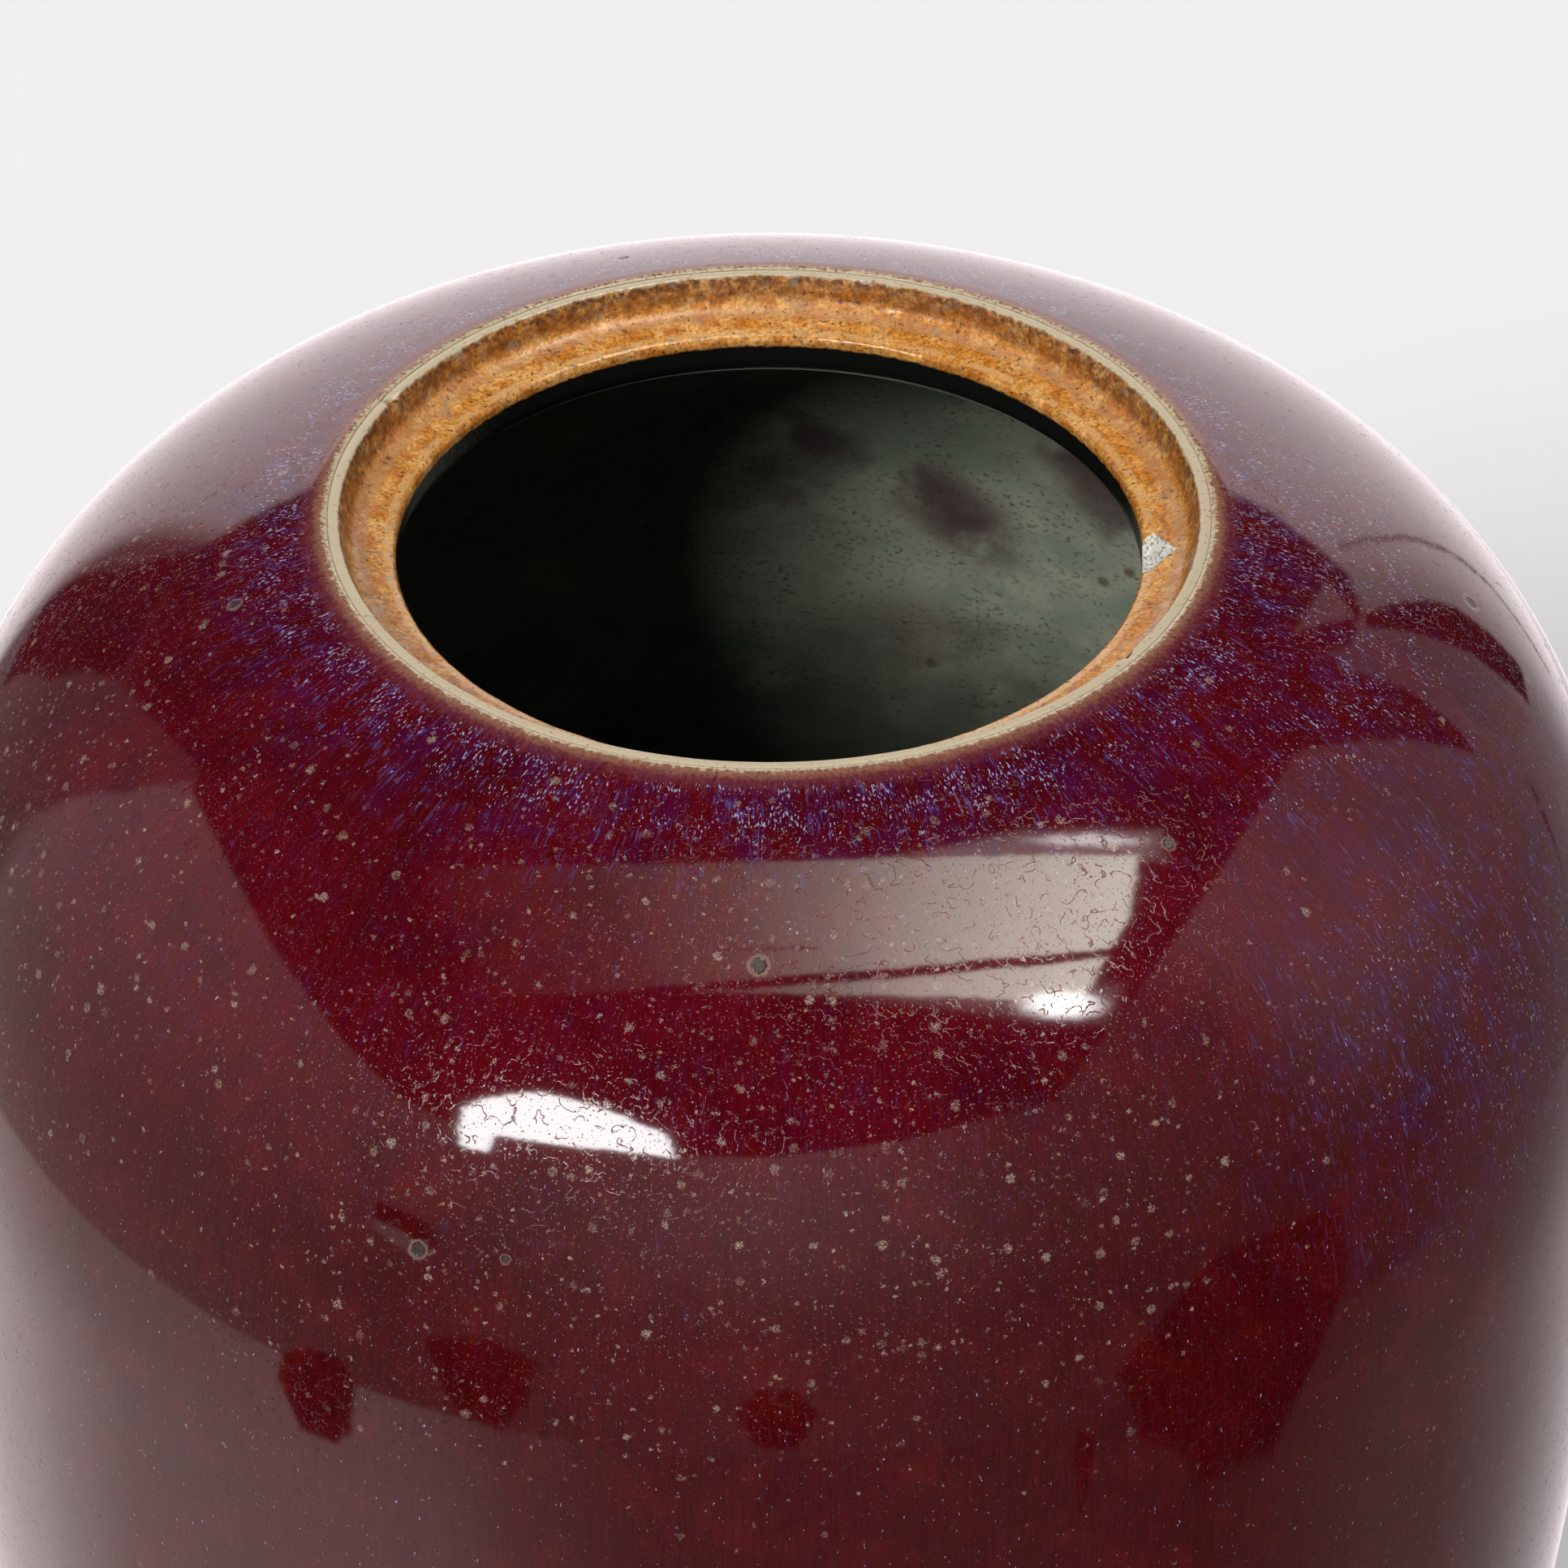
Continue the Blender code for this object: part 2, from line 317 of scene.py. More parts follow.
@dataclass(frozen=True)
class Flow:
    """Where a place lies in a coat of glaze, as sockets of one material's graph.

    Attributes:
        graph: The graph of the material.
        place: The place in millimetres, from the piece's axis.
        radius: Its distance from the axis.
        run: How far the glaze has run to it from the coat's edge.
        round_x: Its direction round the axis, the part towards +X.
        round_y: The part towards +Y.
        near_radius: Radius that the streaks near the mouth are counted at.
        far_radius: Radius that the streaks on the belly are counted at.
        change: Radii between which the first streaks give way to the second.
    """

    graph: NodeGraph
    place: Socket
    radius: Socket
    run: Socket
    round_x: Socket
    round_y: Socket
    near_radius: float = 66.0
    far_radius: float = 102.0
    change: tuple[float, float] = (78.0, 92.0)

    def drawn_out(self, turn: float, length: float) -> Socket:
        """Return a place for noise that is drawn out along the flow.

        Args:
            turn: How many streaks lie side by side on one radius.
            length: Length of a streak, in millimetres.

        Returns:
            A place at which noise of size 1 has such streaks.
        """
        across = self.graph.times(self.round_x, turn)
        deep = self.graph.times(self.round_y, turn)
        return self.graph.combine(across, deep, self.graph.times(self.run, 1.0 / length))

    def streaks(self, width: float, length: float, detail: float = 2.0) -> Socket:
        """Write noise in streaks along the flow, as wide near the mouth as on the belly.

        Args:
            width: Width of a streak, in millimetres.
            length: Length of a streak, in millimetres.
            detail: How many finer layers the noise has.

        Returns:
            A number that lies mostly between 0.2 and 0.8.
        """
        near = self.graph.grain(self.drawn_out(self.near_radius / width, length), 1.0, detail)
        far = self.graph.grain(self.drawn_out(self.far_radius / width, length), 1.0, detail)
        return self.graph.blend(self.graph.step(self.radius, *self.change), near, far)


@dataclass(frozen=True)
class GlazeFlow:
    """How a coat of glaze lies on a turned piece: where it starts and which way it runs.

    Attributes:
        axis_x: Where the piece's axis stands, in metres.
        edge_radius: Radius of the coat's thin edge, in millimetres.
        edge_height: Height of that edge, in millimetres.
        outward: 1 where the coat runs outwards and down from its edge, -1 where it runs in and up.
    """

    axis_x: float
    edge_radius: float
    edge_height: float
    outward: float

    def read(self, graph: NodeGraph) -> Flow:
        """Write the nodes that measure a place against the flow.

        Args:
            graph: The graph of the material.

        Returns:
            What they measure.
        """
        place = graph.object_place(self.axis_x)
        x, y, z = graph.separate(place)
        radius = graph.measure("LENGTH", graph.combine(x, y, 0.0))
        safe = graph.highest(radius, 0.5)
        fallen = graph.plus(graph.minus(radius, self.edge_radius), graph.minus(self.edge_height, z))
        run = graph.times(fallen, self.outward)
        return Flow(graph, place, radius, run, graph.math("DIVIDE", x, safe), graph.math("DIVIDE", y, safe))


@dataclass(frozen=True)
class FlambeGlaze:
    """Glossy oxblood glaze, streaked with violet and blue where it ran off the edge.

    Attributes:
        pits: Middle of each dark spot in the coat, in millimetres from the axis, and its radius.
        corner: Radius and height, in millimetres, of a corner that faces only the coat itself, kept matt as
            painted shade.
        blue_drift: Middle and half widths, in millimetres, of the drift where the veil is thick.
        flecks_beside: The same for the milky flecks beside the mouth.
        flecks_drift: The same for those in the drift.
        crystals_front: The same for the grey crystals in front.
        crystals_left: The same for those on the left.
    """

    name: str
    flow: GlazeFlow
    pits: tuple[tuple[Place, float], ...]
    corner: Optional[tuple[float, float]] = None
    crimson: Color = fired(80, 4, 14)
    brown_red: Color = fired(62, 5, 6)
    deep_red: Color = fired(58, 1, 10)
    rust: Color = fired(96, 16, 8)
    violet: Color = fired(60, 10, 66)
    sky_blue: Color = fired(92, 84, 150)
    milk: Color = fired(172, 172, 214)
    crystal: Color = fired(168, 148, 132)
    ash: Color = fired(44, 46, 42)
    cream: Color = fired(198, 180, 148)
    beige: Color = fired(150, 106, 82)
    brown_pink: Color = fired(110, 50, 56)
    iron: Color = fired(52, 30, 24)
    roughness: float = 0.055
    ior: float = 1.5
    blue_drift: tuple[Place, Place] = ((78.0, -46.0, 218.0), (28.0, 42.0, 32.0))
    flecks_beside: tuple[Place, Place] = ((68.0, -14.0, 236.0), (26.0, 38.0, 16.0))
    flecks_drift: tuple[Place, Place] = ((82.0, -52.0, 214.0), (26.0, 36.0, 30.0))
    crystals_front: tuple[Place, Place] = ((-8.0, -86.0, 220.0), (64.0, 44.0, 36.0))
    crystals_left: tuple[Place, Place] = ((-78.0, -26.0, 224.0), (40.0, 50.0, 34.0))

    def body_color(self, graph: NodeGraph, flow: Flow) -> Socket:
        """Mix the reds of the thick coat: crimson above, brown red lower down, in soft clouds.

        Args:
            graph: The graph of the material.
            flow: Where a place lies in the coat.

        Returns:
            The colour's socket.
        """
        clouds = graph.grain(flow.place, 34.0, 3.0)
        lower = graph.step(flow.run, 40.0, 95.0)
        warm = graph.math("ADD", lower, graph.step(clouds, 0.4, 0.62, -0.25, 0.3), clamp=True)
        red = graph.mix(warm, self.crimson, self.brown_red)
        deep = graph.step(graph.grain(flow.place, 12.0, 3.0), 0.46, 0.66, 0.0, 0.45)
        red = graph.mix(deep, red, self.deep_red)
        rusty = graph.step(graph.grain(flow.place, 8.0, 3.0), 0.5, 0.72, 0.0, 0.24)
        red = graph.mix(rusty, red, self.rust)
        fibres = flow.streaks(0.4, 6.0)
        red = graph.shaded(red, graph.step(fibres, 0.3, 0.7, 0.84, 1.16))
        speckle = graph.grain(flow.place, 0.35, 1.0)
        return graph.shaded(red, graph.step(speckle, 0.25, 0.75, 0.84, 1.16))

    def veil_mask(self, graph: NodeGraph, flow: Flow) -> Socket:
        """Mark where the blue veil lies: round the edge and in a broad drift on one shoulder.

        Args:
            graph: The graph of the material.
            flow: Where a place lies in the coat.

        Returns:
            A mask, from 0 to 1.
        """
        ring = graph.step(flow.run, 34.0, 6.0)
        drift = graph.spot(flow.place, *self.blue_drift, 0.7)
        shoulder = graph.step(flow.run, 110.0, 50.0, 0.05, 0.2)
        return graph.highest(ring, graph.times(drift, 0.9), shoulder)

    def add_veil(self, graph: NodeGraph, flow: Flow, color: Socket) -> Socket:
        """Lay violet patches and fine blue threads over the red.

        Args:
            graph: The graph of the material.
            flow: Where a place lies in the coat.
            color: The colour so far.

        Returns:
            The new colour's socket.
        """
        mask = self.veil_mask(graph, flow)
        patches = graph.step(flow.streaks(3.2, 7.0, 4.0), 0.4, 0.66)
        threads = flow.streaks(0.3, 3.0)
        violet = graph.times(mask, patches, graph.step(threads, 0.3, 0.62, 0.1, 0.6))
        color = graph.mix(violet, color, self.violet)
        clusters = graph.step(graph.grain(flow.place, 2.4, 4.0), 0.4, 0.64)
        blue = graph.times(mask, clusters, graph.step(threads, 0.54, 0.68, 0.0, 0.55))
        return graph.mix(blue, color, self.sky_blue)

    def add_flecks(self, graph: NodeGraph, flow: Flow, color: Socket) -> Socket:
        """Scatter short milky flecks along the flow, in a band round the edge and in the drift.

        Args:
            graph: The graph of the material.
            flow: Where a place lies in the coat.
            color: The colour so far.

        Returns:
            The new colour's socket.
        """
        flecks = flow.streaks(0.26, 0.75, 1.0)
        clusters = graph.step(graph.grain(flow.place, 3.4, 3.0), 0.34, 0.62, 0.25, 1.0)
        start = graph.step(flow.run, 1.6, 4.0)
        band = graph.step(flow.run, 20.0, 7.0)
        beside = graph.spot(flow.place, *self.flecks_beside, 0.5)
        drift = graph.spot(flow.place, *self.flecks_drift, 0.7)
        wide = graph.highest(band, graph.times(beside, 0.8), graph.times(drift, 0.5), 0.1)
        thick = graph.times(wide, clusters, start)
        bar = graph.minus(0.74, graph.times(thick, 0.165))
        shown = graph.step(graph.minus(flecks, bar), 0.0, 0.08)
        return graph.mix(graph.times(shown, 0.7), color, self.milk)

    @staticmethod
    def crystal_layer(graph: NodeGraph, place: Socket, size: float, sown: Socket) -> Socket:
        """Write one layer of crystals of mixed girth and strength.

        Args:
            graph: The graph of the material.
            place: The place in millimetres, stirred so that the crystals are ragged.
            size: How far apart they can lie.
            sown: The share of places that hold one.

        Returns:
            A mask, up to 1 in a crystal.
        """
        cells = graph.cells(place, size)
        keep, girth, weight = graph.separate(cells.outputs["Color"])
        present = graph.step(graph.minus(keep, sown), 0.02, -0.02)
        reach = graph.step(girth, 0.0, 1.0, 0.08, 0.3)
        grown = graph.step(graph.minus(cells.outputs["Distance"], reach), 0.06, -0.08)
        return graph.times(present, grown, graph.step(weight, 0.0, 1.0, 0.3, 0.9))

    def crystal_mask(self, graph: NodeGraph, flow: Flow) -> Socket:
        """Mark the grey crystals: ragged flakes, small grains and fine dust between them.

        Args:
            graph: The graph of the material.
            flow: Where a place lies in the coat.

        Returns:
            A mask, from 0 to 1.
        """
        front = graph.spot(flow.place, *self.crystals_front, 0.6)
        left = graph.spot(flow.place, *self.crystals_left, 0.5)
        belly = graph.step(flow.run, 110.0, 50.0, 0.03, 0.13)
        dense = graph.highest(front, graph.times(left, 0.8), belly)
        stirred = graph.stirred(flow.place, 0.5, 1.0)
        flakes = self.crystal_layer(graph, stirred, 2.1, graph.times(dense, 0.42))
        small = self.crystal_layer(graph, stirred, 1.0, graph.times(dense, 0.6))
        grains = graph.step(graph.grain(flow.place, 0.2, 1.0), 0.38, 0.62, 0.1, 1.0)
        dust = graph.step(graph.grain(flow.place, 0.3, 1.0), 0.66, 0.76)
        kept = graph.step(flow.run, 4.0, 8.0)
        grown = graph.times(graph.highest(flakes, small), grains)
        return graph.times(graph.plus(graph.times(grown, 0.8), graph.times(dust, dense, 0.22)), kept)

    def pit_distance(self, graph: NodeGraph, flow: Flow) -> Socket:
        """Measure how far a place is from the nearest pit, where 1 is the pit's own radius.

        Args:
            graph: The graph of the material.
            flow: Where a place lies in the coat.

        Returns:
            The distance's socket.
        """
        nearest: Optional[Socket] = None
        for center, radius in self.pits:
            away = graph.times(graph.measure("DISTANCE", flow.place, center), 1.0 / radius)
            nearest = away if nearest is None else graph.math("MINIMUM", nearest, away)
        return graph.plus(nearest, graph.times(graph.grain(flow.place, 0.5), 0.7), -0.35)

    def add_edge(self, graph: NodeGraph, flow: Flow, color: Socket) -> Socket:
        """Thin the coat out to brown pink, beige and then cream where it runs up to its edge.

        Args:
            graph: The graph of the material.
            flow: Where a place lies in the coat.
            color: The colour so far.

        Returns:
            The new colour's socket.
        """
        fine = graph.minus(graph.grain(flow.place, 0.6, 3.0), 0.5)
        runs = graph.minus(flow.streaks(0.5, 5.0), 0.5)
        far = graph.plus(flow.run, graph.times(fine, 4.0), graph.times(runs, 3.4))
        near = graph.plus(flow.run, graph.times(fine, 2.2), graph.times(runs, 0.8))
        color = graph.mix(graph.step(far, 5.2, 1.2, 0.0, 0.85), color, self.brown_pink)
        color = graph.mix(graph.step(near, 2.5, 0.5, 0.0, 0.85), color, self.beige)
        color = graph.mix(graph.step(near, 0.7, 0.0), color, self.cream)
        specks = graph.step(graph.grain(flow.place, 0.34, 1.0), 0.56, 0.7)
        return graph.mix(graph.times(specks, graph.step(flow.run, 4.0, 1.6), 0.5), color, self.iron)

    def reflection_shade_mask(self, graph: NodeGraph, flow: Flow) -> Optional[Socket]:
        """Mark the corner that faces only the coat itself, where there is one; the glaze is kept matt there
        as painted shade.

        Args:
            graph: The graph of the material.
            flow: Where a place lies in the coat.

        Returns:
            A mask, or None where there is no such corner.
        """
        if self.corner is None:
            return None
        radius, height = self.corner
        low = graph.step(graph.separate(flow.place)[2], height, height - 2.5)
        return graph.times(low, graph.step(flow.radius, radius + 2.0, radius))

    def wrinkles(self, graph: NodeGraph, flow: Flow) -> Socket:
        """Mark short fine wrinkles in the coat's skin."""
        lines = graph.band(graph.grain(flow.place, 2.6), 0.5, 0.0, 0.016)
        return graph.times(lines, graph.step(graph.grain(flow.place, 1.3), 0.46, 0.56))

    def material(self) -> bpy.types.Material:
        """Write the glaze's material.

        Returns:
            The new material.
        """
        material, graph = new_material(self.name)
        flow = self.flow.read(graph)
        color = self.body_color(graph, flow)
        color = self.add_veil(graph, flow, color)
        color = self.add_flecks(graph, flow, color)
        crystals = self.crystal_mask(graph, flow)
        color = graph.mix(crystals, color, self.crystal)
        away = self.pit_distance(graph, flow)
        pits = graph.step(away, 0.95, 0.7)
        color = graph.mix(graph.times(graph.band(away, 1.2, 0.1, 0.2), 0.25), color, self.crystal)
        color = graph.mix(graph.times(pits, 0.85), color, self.ash)
        color = self.add_edge(graph, flow, color)
        wrinkles = self.wrinkles(graph, flow)
        pinholes = graph.step(graph.grain(flow.place, 0.3, 1.0), 0.67, 0.73)
        worn = graph.plus(graph.times(wrinkles, 0.34), graph.times(pinholes, 0.3))
        roughness = graph.plus(worn, graph.times(crystals, 0.14), graph.times(pits, 0.3), self.roughness)
        swell = graph.times(graph.grain(flow.place, 7.0), 0.006)
        peel = graph.times(graph.grain(flow.place, 0.8, 1.0), 0.0008)
        dents = graph.plus(graph.times(wrinkles, -0.007), graph.times(pinholes, -0.006))
        raised = graph.plus(graph.times(crystals, 0.003), graph.times(pits, -0.06))
        relief = graph.plus(swell, peel, dents, raised)
        # Painted shade: in the corner under the knob the glaze turns matt instead of mirroring the studio.
        graph.surface(color, roughness, relief, self.ior, self.reflection_shade_mask(graph, flow))
        return material


@dataclass(frozen=True)
class CeladonGlaze:
    """Grey-green satin glaze inside the jar, with specks and purple blushes; painted shade makes it darker
    and browner low down and under the seat.

    Attributes:
        rim: Height of the ceiling under the seat, in millimetres; in the 7 mm below it painted shade darkens
            the coat towards it.
        blushes: Middle and half widths of each blush, in millimetres, and how strong it is.
        spots: Middle of each olive spot.
    """

    name: str
    rim: float
    green: Color = fired(128, 138, 122)
    pale: Color = fired(154, 158, 138)
    dusk: Color = fired(62, 52, 48)
    dark: Color = fired(24, 20, 18)
    speck: Color = fired(60, 52, 46)
    blush: Color = fired(76, 48, 56)
    olive: Color = fired(84, 66, 24)
    roughness: float = 0.3
    ior: float = 1.5
    blushes: tuple[tuple[Place, Place, float], ...] = (
        ((24.0, 99.0, 178.8), (5.4, 8.0, 5.2), 0.8),
        ((28.6, 98.0, 174.6), (5.6, 8.0, 5.4), 0.85),
        ((42.2, 91.3, 191.6), (4.4, 7.0, 4.4), 0.75),
        ((46.2, 90.0, 185.8), (4.6, 7.0, 4.8), 0.8),
        ((50.2, 88.4, 180.0), (4.0, 7.0, 4.4), 0.65),
        ((7.4, 101.0, 187.0), (4.4, 7.0, 3.4), 0.75),
        ((1.4, 101.7, 180.2), (4.8, 7.0, 3.6), 0.6),
        ((-4.5, 101.0, 176.5), (4.0, 6.0, 2.6), 0.35),
        ((-8.8, 99.7, 191.1), (1.8, 5.0, 1.4), 0.6),
        ((20.0, 99.0, 156.0), (14.0, 8.0, 4.6), 0.4),
    )
    spots: tuple[Place, ...] = ((46.9, 90.9, 170.2), (50.4, 88.8, 173.1), (23.1, 99.0, 150.0))

    def material(self) -> bpy.types.Material:
        """Write the glaze's material.

        Returns:
            The new material.
        """
        material, graph = new_material(self.name)
        place = graph.object_place()
        x, y, z = graph.separate(place)
        clouds = graph.grain(graph.combine(x, y, graph.times(z, 1.8)), 15.0, 3.0)
        color = graph.mix(graph.step(clouds, 0.38, 0.62), self.green, self.pale)
        torn = graph.minus(graph.grain(place, 7.0, 4.0), 0.5)
        # Painted shade: the lining turns darker and browner towards the bottom of the jar (dusk, then dark),
        # standing in for the shade deep inside.
        low = graph.plus(z, graph.times(torn, 30.0))
        color = graph.mix(graph.step(low, 168.0, 138.0, 0.0, 0.6), color, self.dusk)
        color = graph.mix(graph.step(low, 150.0, 100.0, 0.0, 0.85), color, self.dark)
        shift = graph.times(torn, 18.0)
        moved = graph.vector("ADD", place, graph.combine(shift, shift, graph.times(shift, -0.6)))
        for center, radii, strength in self.blushes:
            blush = graph.spot(moved, center, radii, 0.7)
            color = graph.mix(graph.times(blush, strength), color, self.blush)
        flat = graph.combine(x, y, graph.times(z, 1.6))
        specks = graph.step(graph.grain(flat, 0.9), 0.52, 0.76)
        sown = graph.step(graph.grain(place, 9.0), 0.38, 0.62, 0.25, 0.75)
        color = graph.mix(graph.times(specks, sown), color, self.speck)
        for center in self.spots:
            spot = graph.spot(place, center, (0.8, 3.0, 0.8), 0.5)
            color = graph.mix(graph.times(spot, 0.7), color, self.olive)
        # Painted shade under the seat: the coat darkens towards the ceiling round the throat.
        thin = graph.step(graph.plus(z, graph.times(torn, 8.0)), self.rim - 7.0, self.rim - 1.0, 0.0, 0.6)
        color = graph.mix(thin, color, self.dark)
        height = graph.plus(graph.times(graph.grain(place, 2.2, 3.0), 0.03), graph.times(specks, -0.01))
        graph.surface(color, self.roughness, height, self.ior)
        return material


@dataclass(frozen=True)
class MouthZones:
    """Heights and radii of the mouth's zones, in millimetres.

    Attributes:
        top: Height of the lip.
        inner: Radius of the lip's inner edge.
        throat: Radius of the throat.
        throat_shade_line: Height below which the throat is painted near black as shade.
    """

    top: float
    inner: float
    throat: float
    throat_shade_line: float


@dataclass(frozen=True)
class WashedClay:
    """Fired stoneware: bare buff clay at the foot, an ochre wash on the seat, a cream lip, and painted shade
    on the throat face.
    """

    name: str
    zones: MouthZones
    buff: Color = fired(196, 176, 148)
    toast: Color = fired(150, 104, 66)
    ochre: Color = fired(198, 132, 54)
    honey: Color = fired(216, 160, 90)
    orange: Color = fired(180, 102, 28)
    umber: Color = fired(104, 54, 20)
    cove: Color = fired(176, 134, 100)
    bead: Color = fired(214, 172, 116)
    smoke: Color = fired(136, 122, 104)
    iron: Color = fired(66, 38, 22)
    cream: Color = fired(198, 182, 152)
    # Painted shade: near-black colour laid on the throat face below the ledge's edge.
    lined: Color = fired(20, 20, 18)
    ior: float = 1.48

    def seat_color(self, graph: NodeGraph, place: Socket, radius: Socket, height: Socket) -> Socket:
        """Mix the wash on the seat: ochre ledge, darker wall, pale stripe in the cove, pale bead.

        Args:
            graph: The graph of the material.
            place: The place in millimetres.
            radius: Its distance from the axis.
            height: Its height.

        Returns:
            The colour's socket.
        """
        color = graph.mix(graph.step(graph.grain(place, 4.5), 0.4, 0.62), self.ochre, self.honey)
        patches = graph.step(graph.grain(place, 2.2, 4.0), 0.44, 0.62, 0.0, 0.75)
        color = graph.mix(patches, color, self.orange)
        color = graph.shaded(color, graph.step(graph.grain(place, 0.5, 4.0), 0.3, 0.7, 0.62, 1.3))
        cove = graph.times(graph.band(radius, self.zones.inner - 2.4, 0.5, 0.7), 0.45)
        color = graph.mix(cove, color, self.cove)
        wall = graph.step(radius, self.zones.inner - 1.5, self.zones.inner - 0.7)
        blotched = graph.step(graph.grain(place, 1.5, 4.0), 0.36, 0.64, 0.3, 0.8)
        color = graph.mix(graph.times(wall, blotched), color, self.umber)
        under_lip = graph.step(height, self.zones.top - 2.0, self.zones.top - 0.7)
        mottled = graph.step(graph.grain(place, 0.7, 3.0), 0.44, 0.6)
        color = graph.mix(graph.times(under_lip, wall, mottled, 0.7), color, self.iron)
        ragged = graph.step(graph.grain(place, 2.2, 3.0), 0.36, 0.56)
        bead = graph.band(radius, self.zones.throat + 1.05, 0.25, 0.5)
        return graph.mix(graph.times(bead, ragged, 0.65), color, self.bead)

    def add_specks(self, graph: NodeGraph, place: Socket, color: Socket) -> Socket:
        """Sow fine iron specks and a few grey smudges over the wash.

        Args:
            graph: The graph of the material.
            place: The place in millimetres.
            color: The colour so far.

        Returns:
            The new colour's socket.
        """
        smudges = graph.step(graph.grain(place, 2.0, 3.0), 0.6, 0.68, 0.0, 0.45)
        color = graph.mix(smudges, color, self.smoke)
        grains = graph.step(graph.grain(place, 0.6, 1.0), 0.62, 0.73, 0.0, 0.75)
        color = graph.mix(grains, color, self.iron)
        spots = graph.cells(place, 5.0).outputs["Distance"]
        ragged = graph.plus(spots, graph.times(graph.grain(place, 0.5), 0.08))
        return graph.mix(graph.step(ragged, 0.13, 0.08, 0.0, 0.7), color, self.iron)

    def foot_color(self, graph: NodeGraph, place: Socket, height: Socket) -> Socket:
        """Mix the bare foot: buff clay, toasted where it meets the glaze.

        Args:
            graph: The graph of the material.
            place: The place in millimetres.
            height: Its height.

        Returns:
            The colour's socket.
        """
        clouds = graph.grain(place, 9.0, 4.0)
        color = graph.mix(graph.step(clouds, 0.35, 0.6), self.toast, self.buff)
        line = graph.step(height, 3.2, 5.2, 0.0, 0.75)
        color = graph.mix(line, color, self.toast)
        sand = graph.step(graph.grain(place, 0.6), 0.6, 0.68, 0.0, 0.6)
        return graph.mix(sand, color, self.umber)

    def material(self) -> bpy.types.Material:
        """Write the clay's material.

        Returns:
            The new material.
        """
        material, graph = new_material(self.name)
        place = graph.object_place()
        x, y, z = graph.separate(place)
        radius = graph.measure("LENGTH", graph.combine(x, y, 0.0))
        color = self.add_specks(graph, place, self.seat_color(graph, place, radius, z))
        ragged = graph.times(graph.minus(graph.grain(place, 1.1, 4.0), 0.5), 0.7)
        crest = graph.step(graph.plus(z, ragged), self.zones.top - 0.7, self.zones.top - 0.35)
        outer = graph.step(graph.plus(radius, ragged), self.zones.inner - 0.1, self.zones.inner + 0.25)
        lip = graph.times(crest, outer)
        dirt = graph.step(graph.grain(place, 0.7, 2.0), 0.62, 0.7, 0.0, 0.5)
        color = graph.mix(lip, color, graph.mix(dirt, self.cream, self.umber))
        # Painted shade: the throat face below the ledge's rounded edge is coloured near black.
        throat_shade_line = graph.step(graph.plus(z, ragged), self.zones.throat_shade_line + 0.2, self.zones.throat_shade_line - 0.2)
        color = graph.mix(throat_shade_line, color, self.lined)
        low = graph.step(z, 40.0, 30.0)
        color = graph.mix(low, color, self.foot_color(graph, place, z))
        satin = graph.step(graph.grain(place, 3.0, 3.0), 0.4, 0.62, 0.22, 0.42)
        satin = graph.blend(graph.band(radius, self.zones.throat + 0.7, 0.6, 0.5), satin, 0.14)
        roughness = graph.blend(lip, graph.blend(low, satin, 0.75), 0.3)
        pores = graph.times(graph.grain(place, 0.45, 3.0), 0.05)
        lumps = graph.times(graph.grain(place, 1.6, 2.0), 0.1)
        height = graph.times(graph.plus(pores, lumps), graph.step(lip, 0.0, 1.0, 1.0, 0.15))
        graph.surface(color, roughness, height, self.ior)
        return material


@dataclass(frozen=True)
class BareClay:
    """Bare buff stoneware of the cover, sandy, with a toasted ring next to the glaze."""

    name: str
    buff: Color = fired(196, 176, 148)
    toast: Color = fired(150, 104, 66)
    sand: Color = fired(112, 62, 26)
    toasted_height: float = 3.0
    ior: float = 1.48

    def material(self) -> bpy.types.Material:
        """Write the clay's material.

        Returns:
            The new material.
        """
        material, graph = new_material(self.name)
        place = graph.object_place()
        height = graph.separate(place)[2]
        clouds = graph.grain(place, 8.0, 4.0)
        color = graph.ramp(clouds, ((0.35, self.toast), (0.6, self.buff)))
        ring = graph.step(height, self.toasted_height - 1.6, self.toasted_height, 0.0, 0.7)
        color = graph.mix(ring, color, self.toast)
        sand = graph.step(graph.grain(place, 0.6, 2.0), 0.6, 0.68, 0.0, 0.6)
        color = graph.mix(sand, color, self.sand)
        graph.surface(color, 0.75, graph.times(graph.grain(place, 0.5, 3.0), 0.08), self.ior)
        return material


@dataclass(frozen=True)
class BrokenClay:
    """The grey-white broken face of the chip in the seat."""

    name: str
    pale: Color = fired(212, 210, 200)
    shade: Color = fired(128, 124, 114)
    ior: float = 1.45

    def material(self) -> bpy.types.Material:
        """Write the broken clay's material.

        Returns:
            The new material.
        """
        material, graph = new_material(self.name)
        place = graph.object_place()
        grains = graph.grain(place, 0.5, 4.0)
        color = graph.ramp(grains, ((0.36, self.shade), (0.5, self.pale)))
        graph.surface(color, 0.7, graph.times(grains, 0.15), self.ior)
        return material


def arc(center: Vector, radius: float, start: float, end: float, count: int) -> list[Vector]:
    """Return points on a circle in the profile plane, both ends included.

    Args:
        center: The circle's centre.
        radius: Its radius in metres.
        start: The first angle in radians.
        end: The last angle in radians.
        count: How many points.

    Returns:
        The points, as radius and height.
    """
    points = []
    for index in range(count):
        angle = start + (end - start) * index / (count - 1)
        points.append(Vector((center[0] + radius * math.cos(angle), center[1] + radius * math.sin(angle))))
    return points


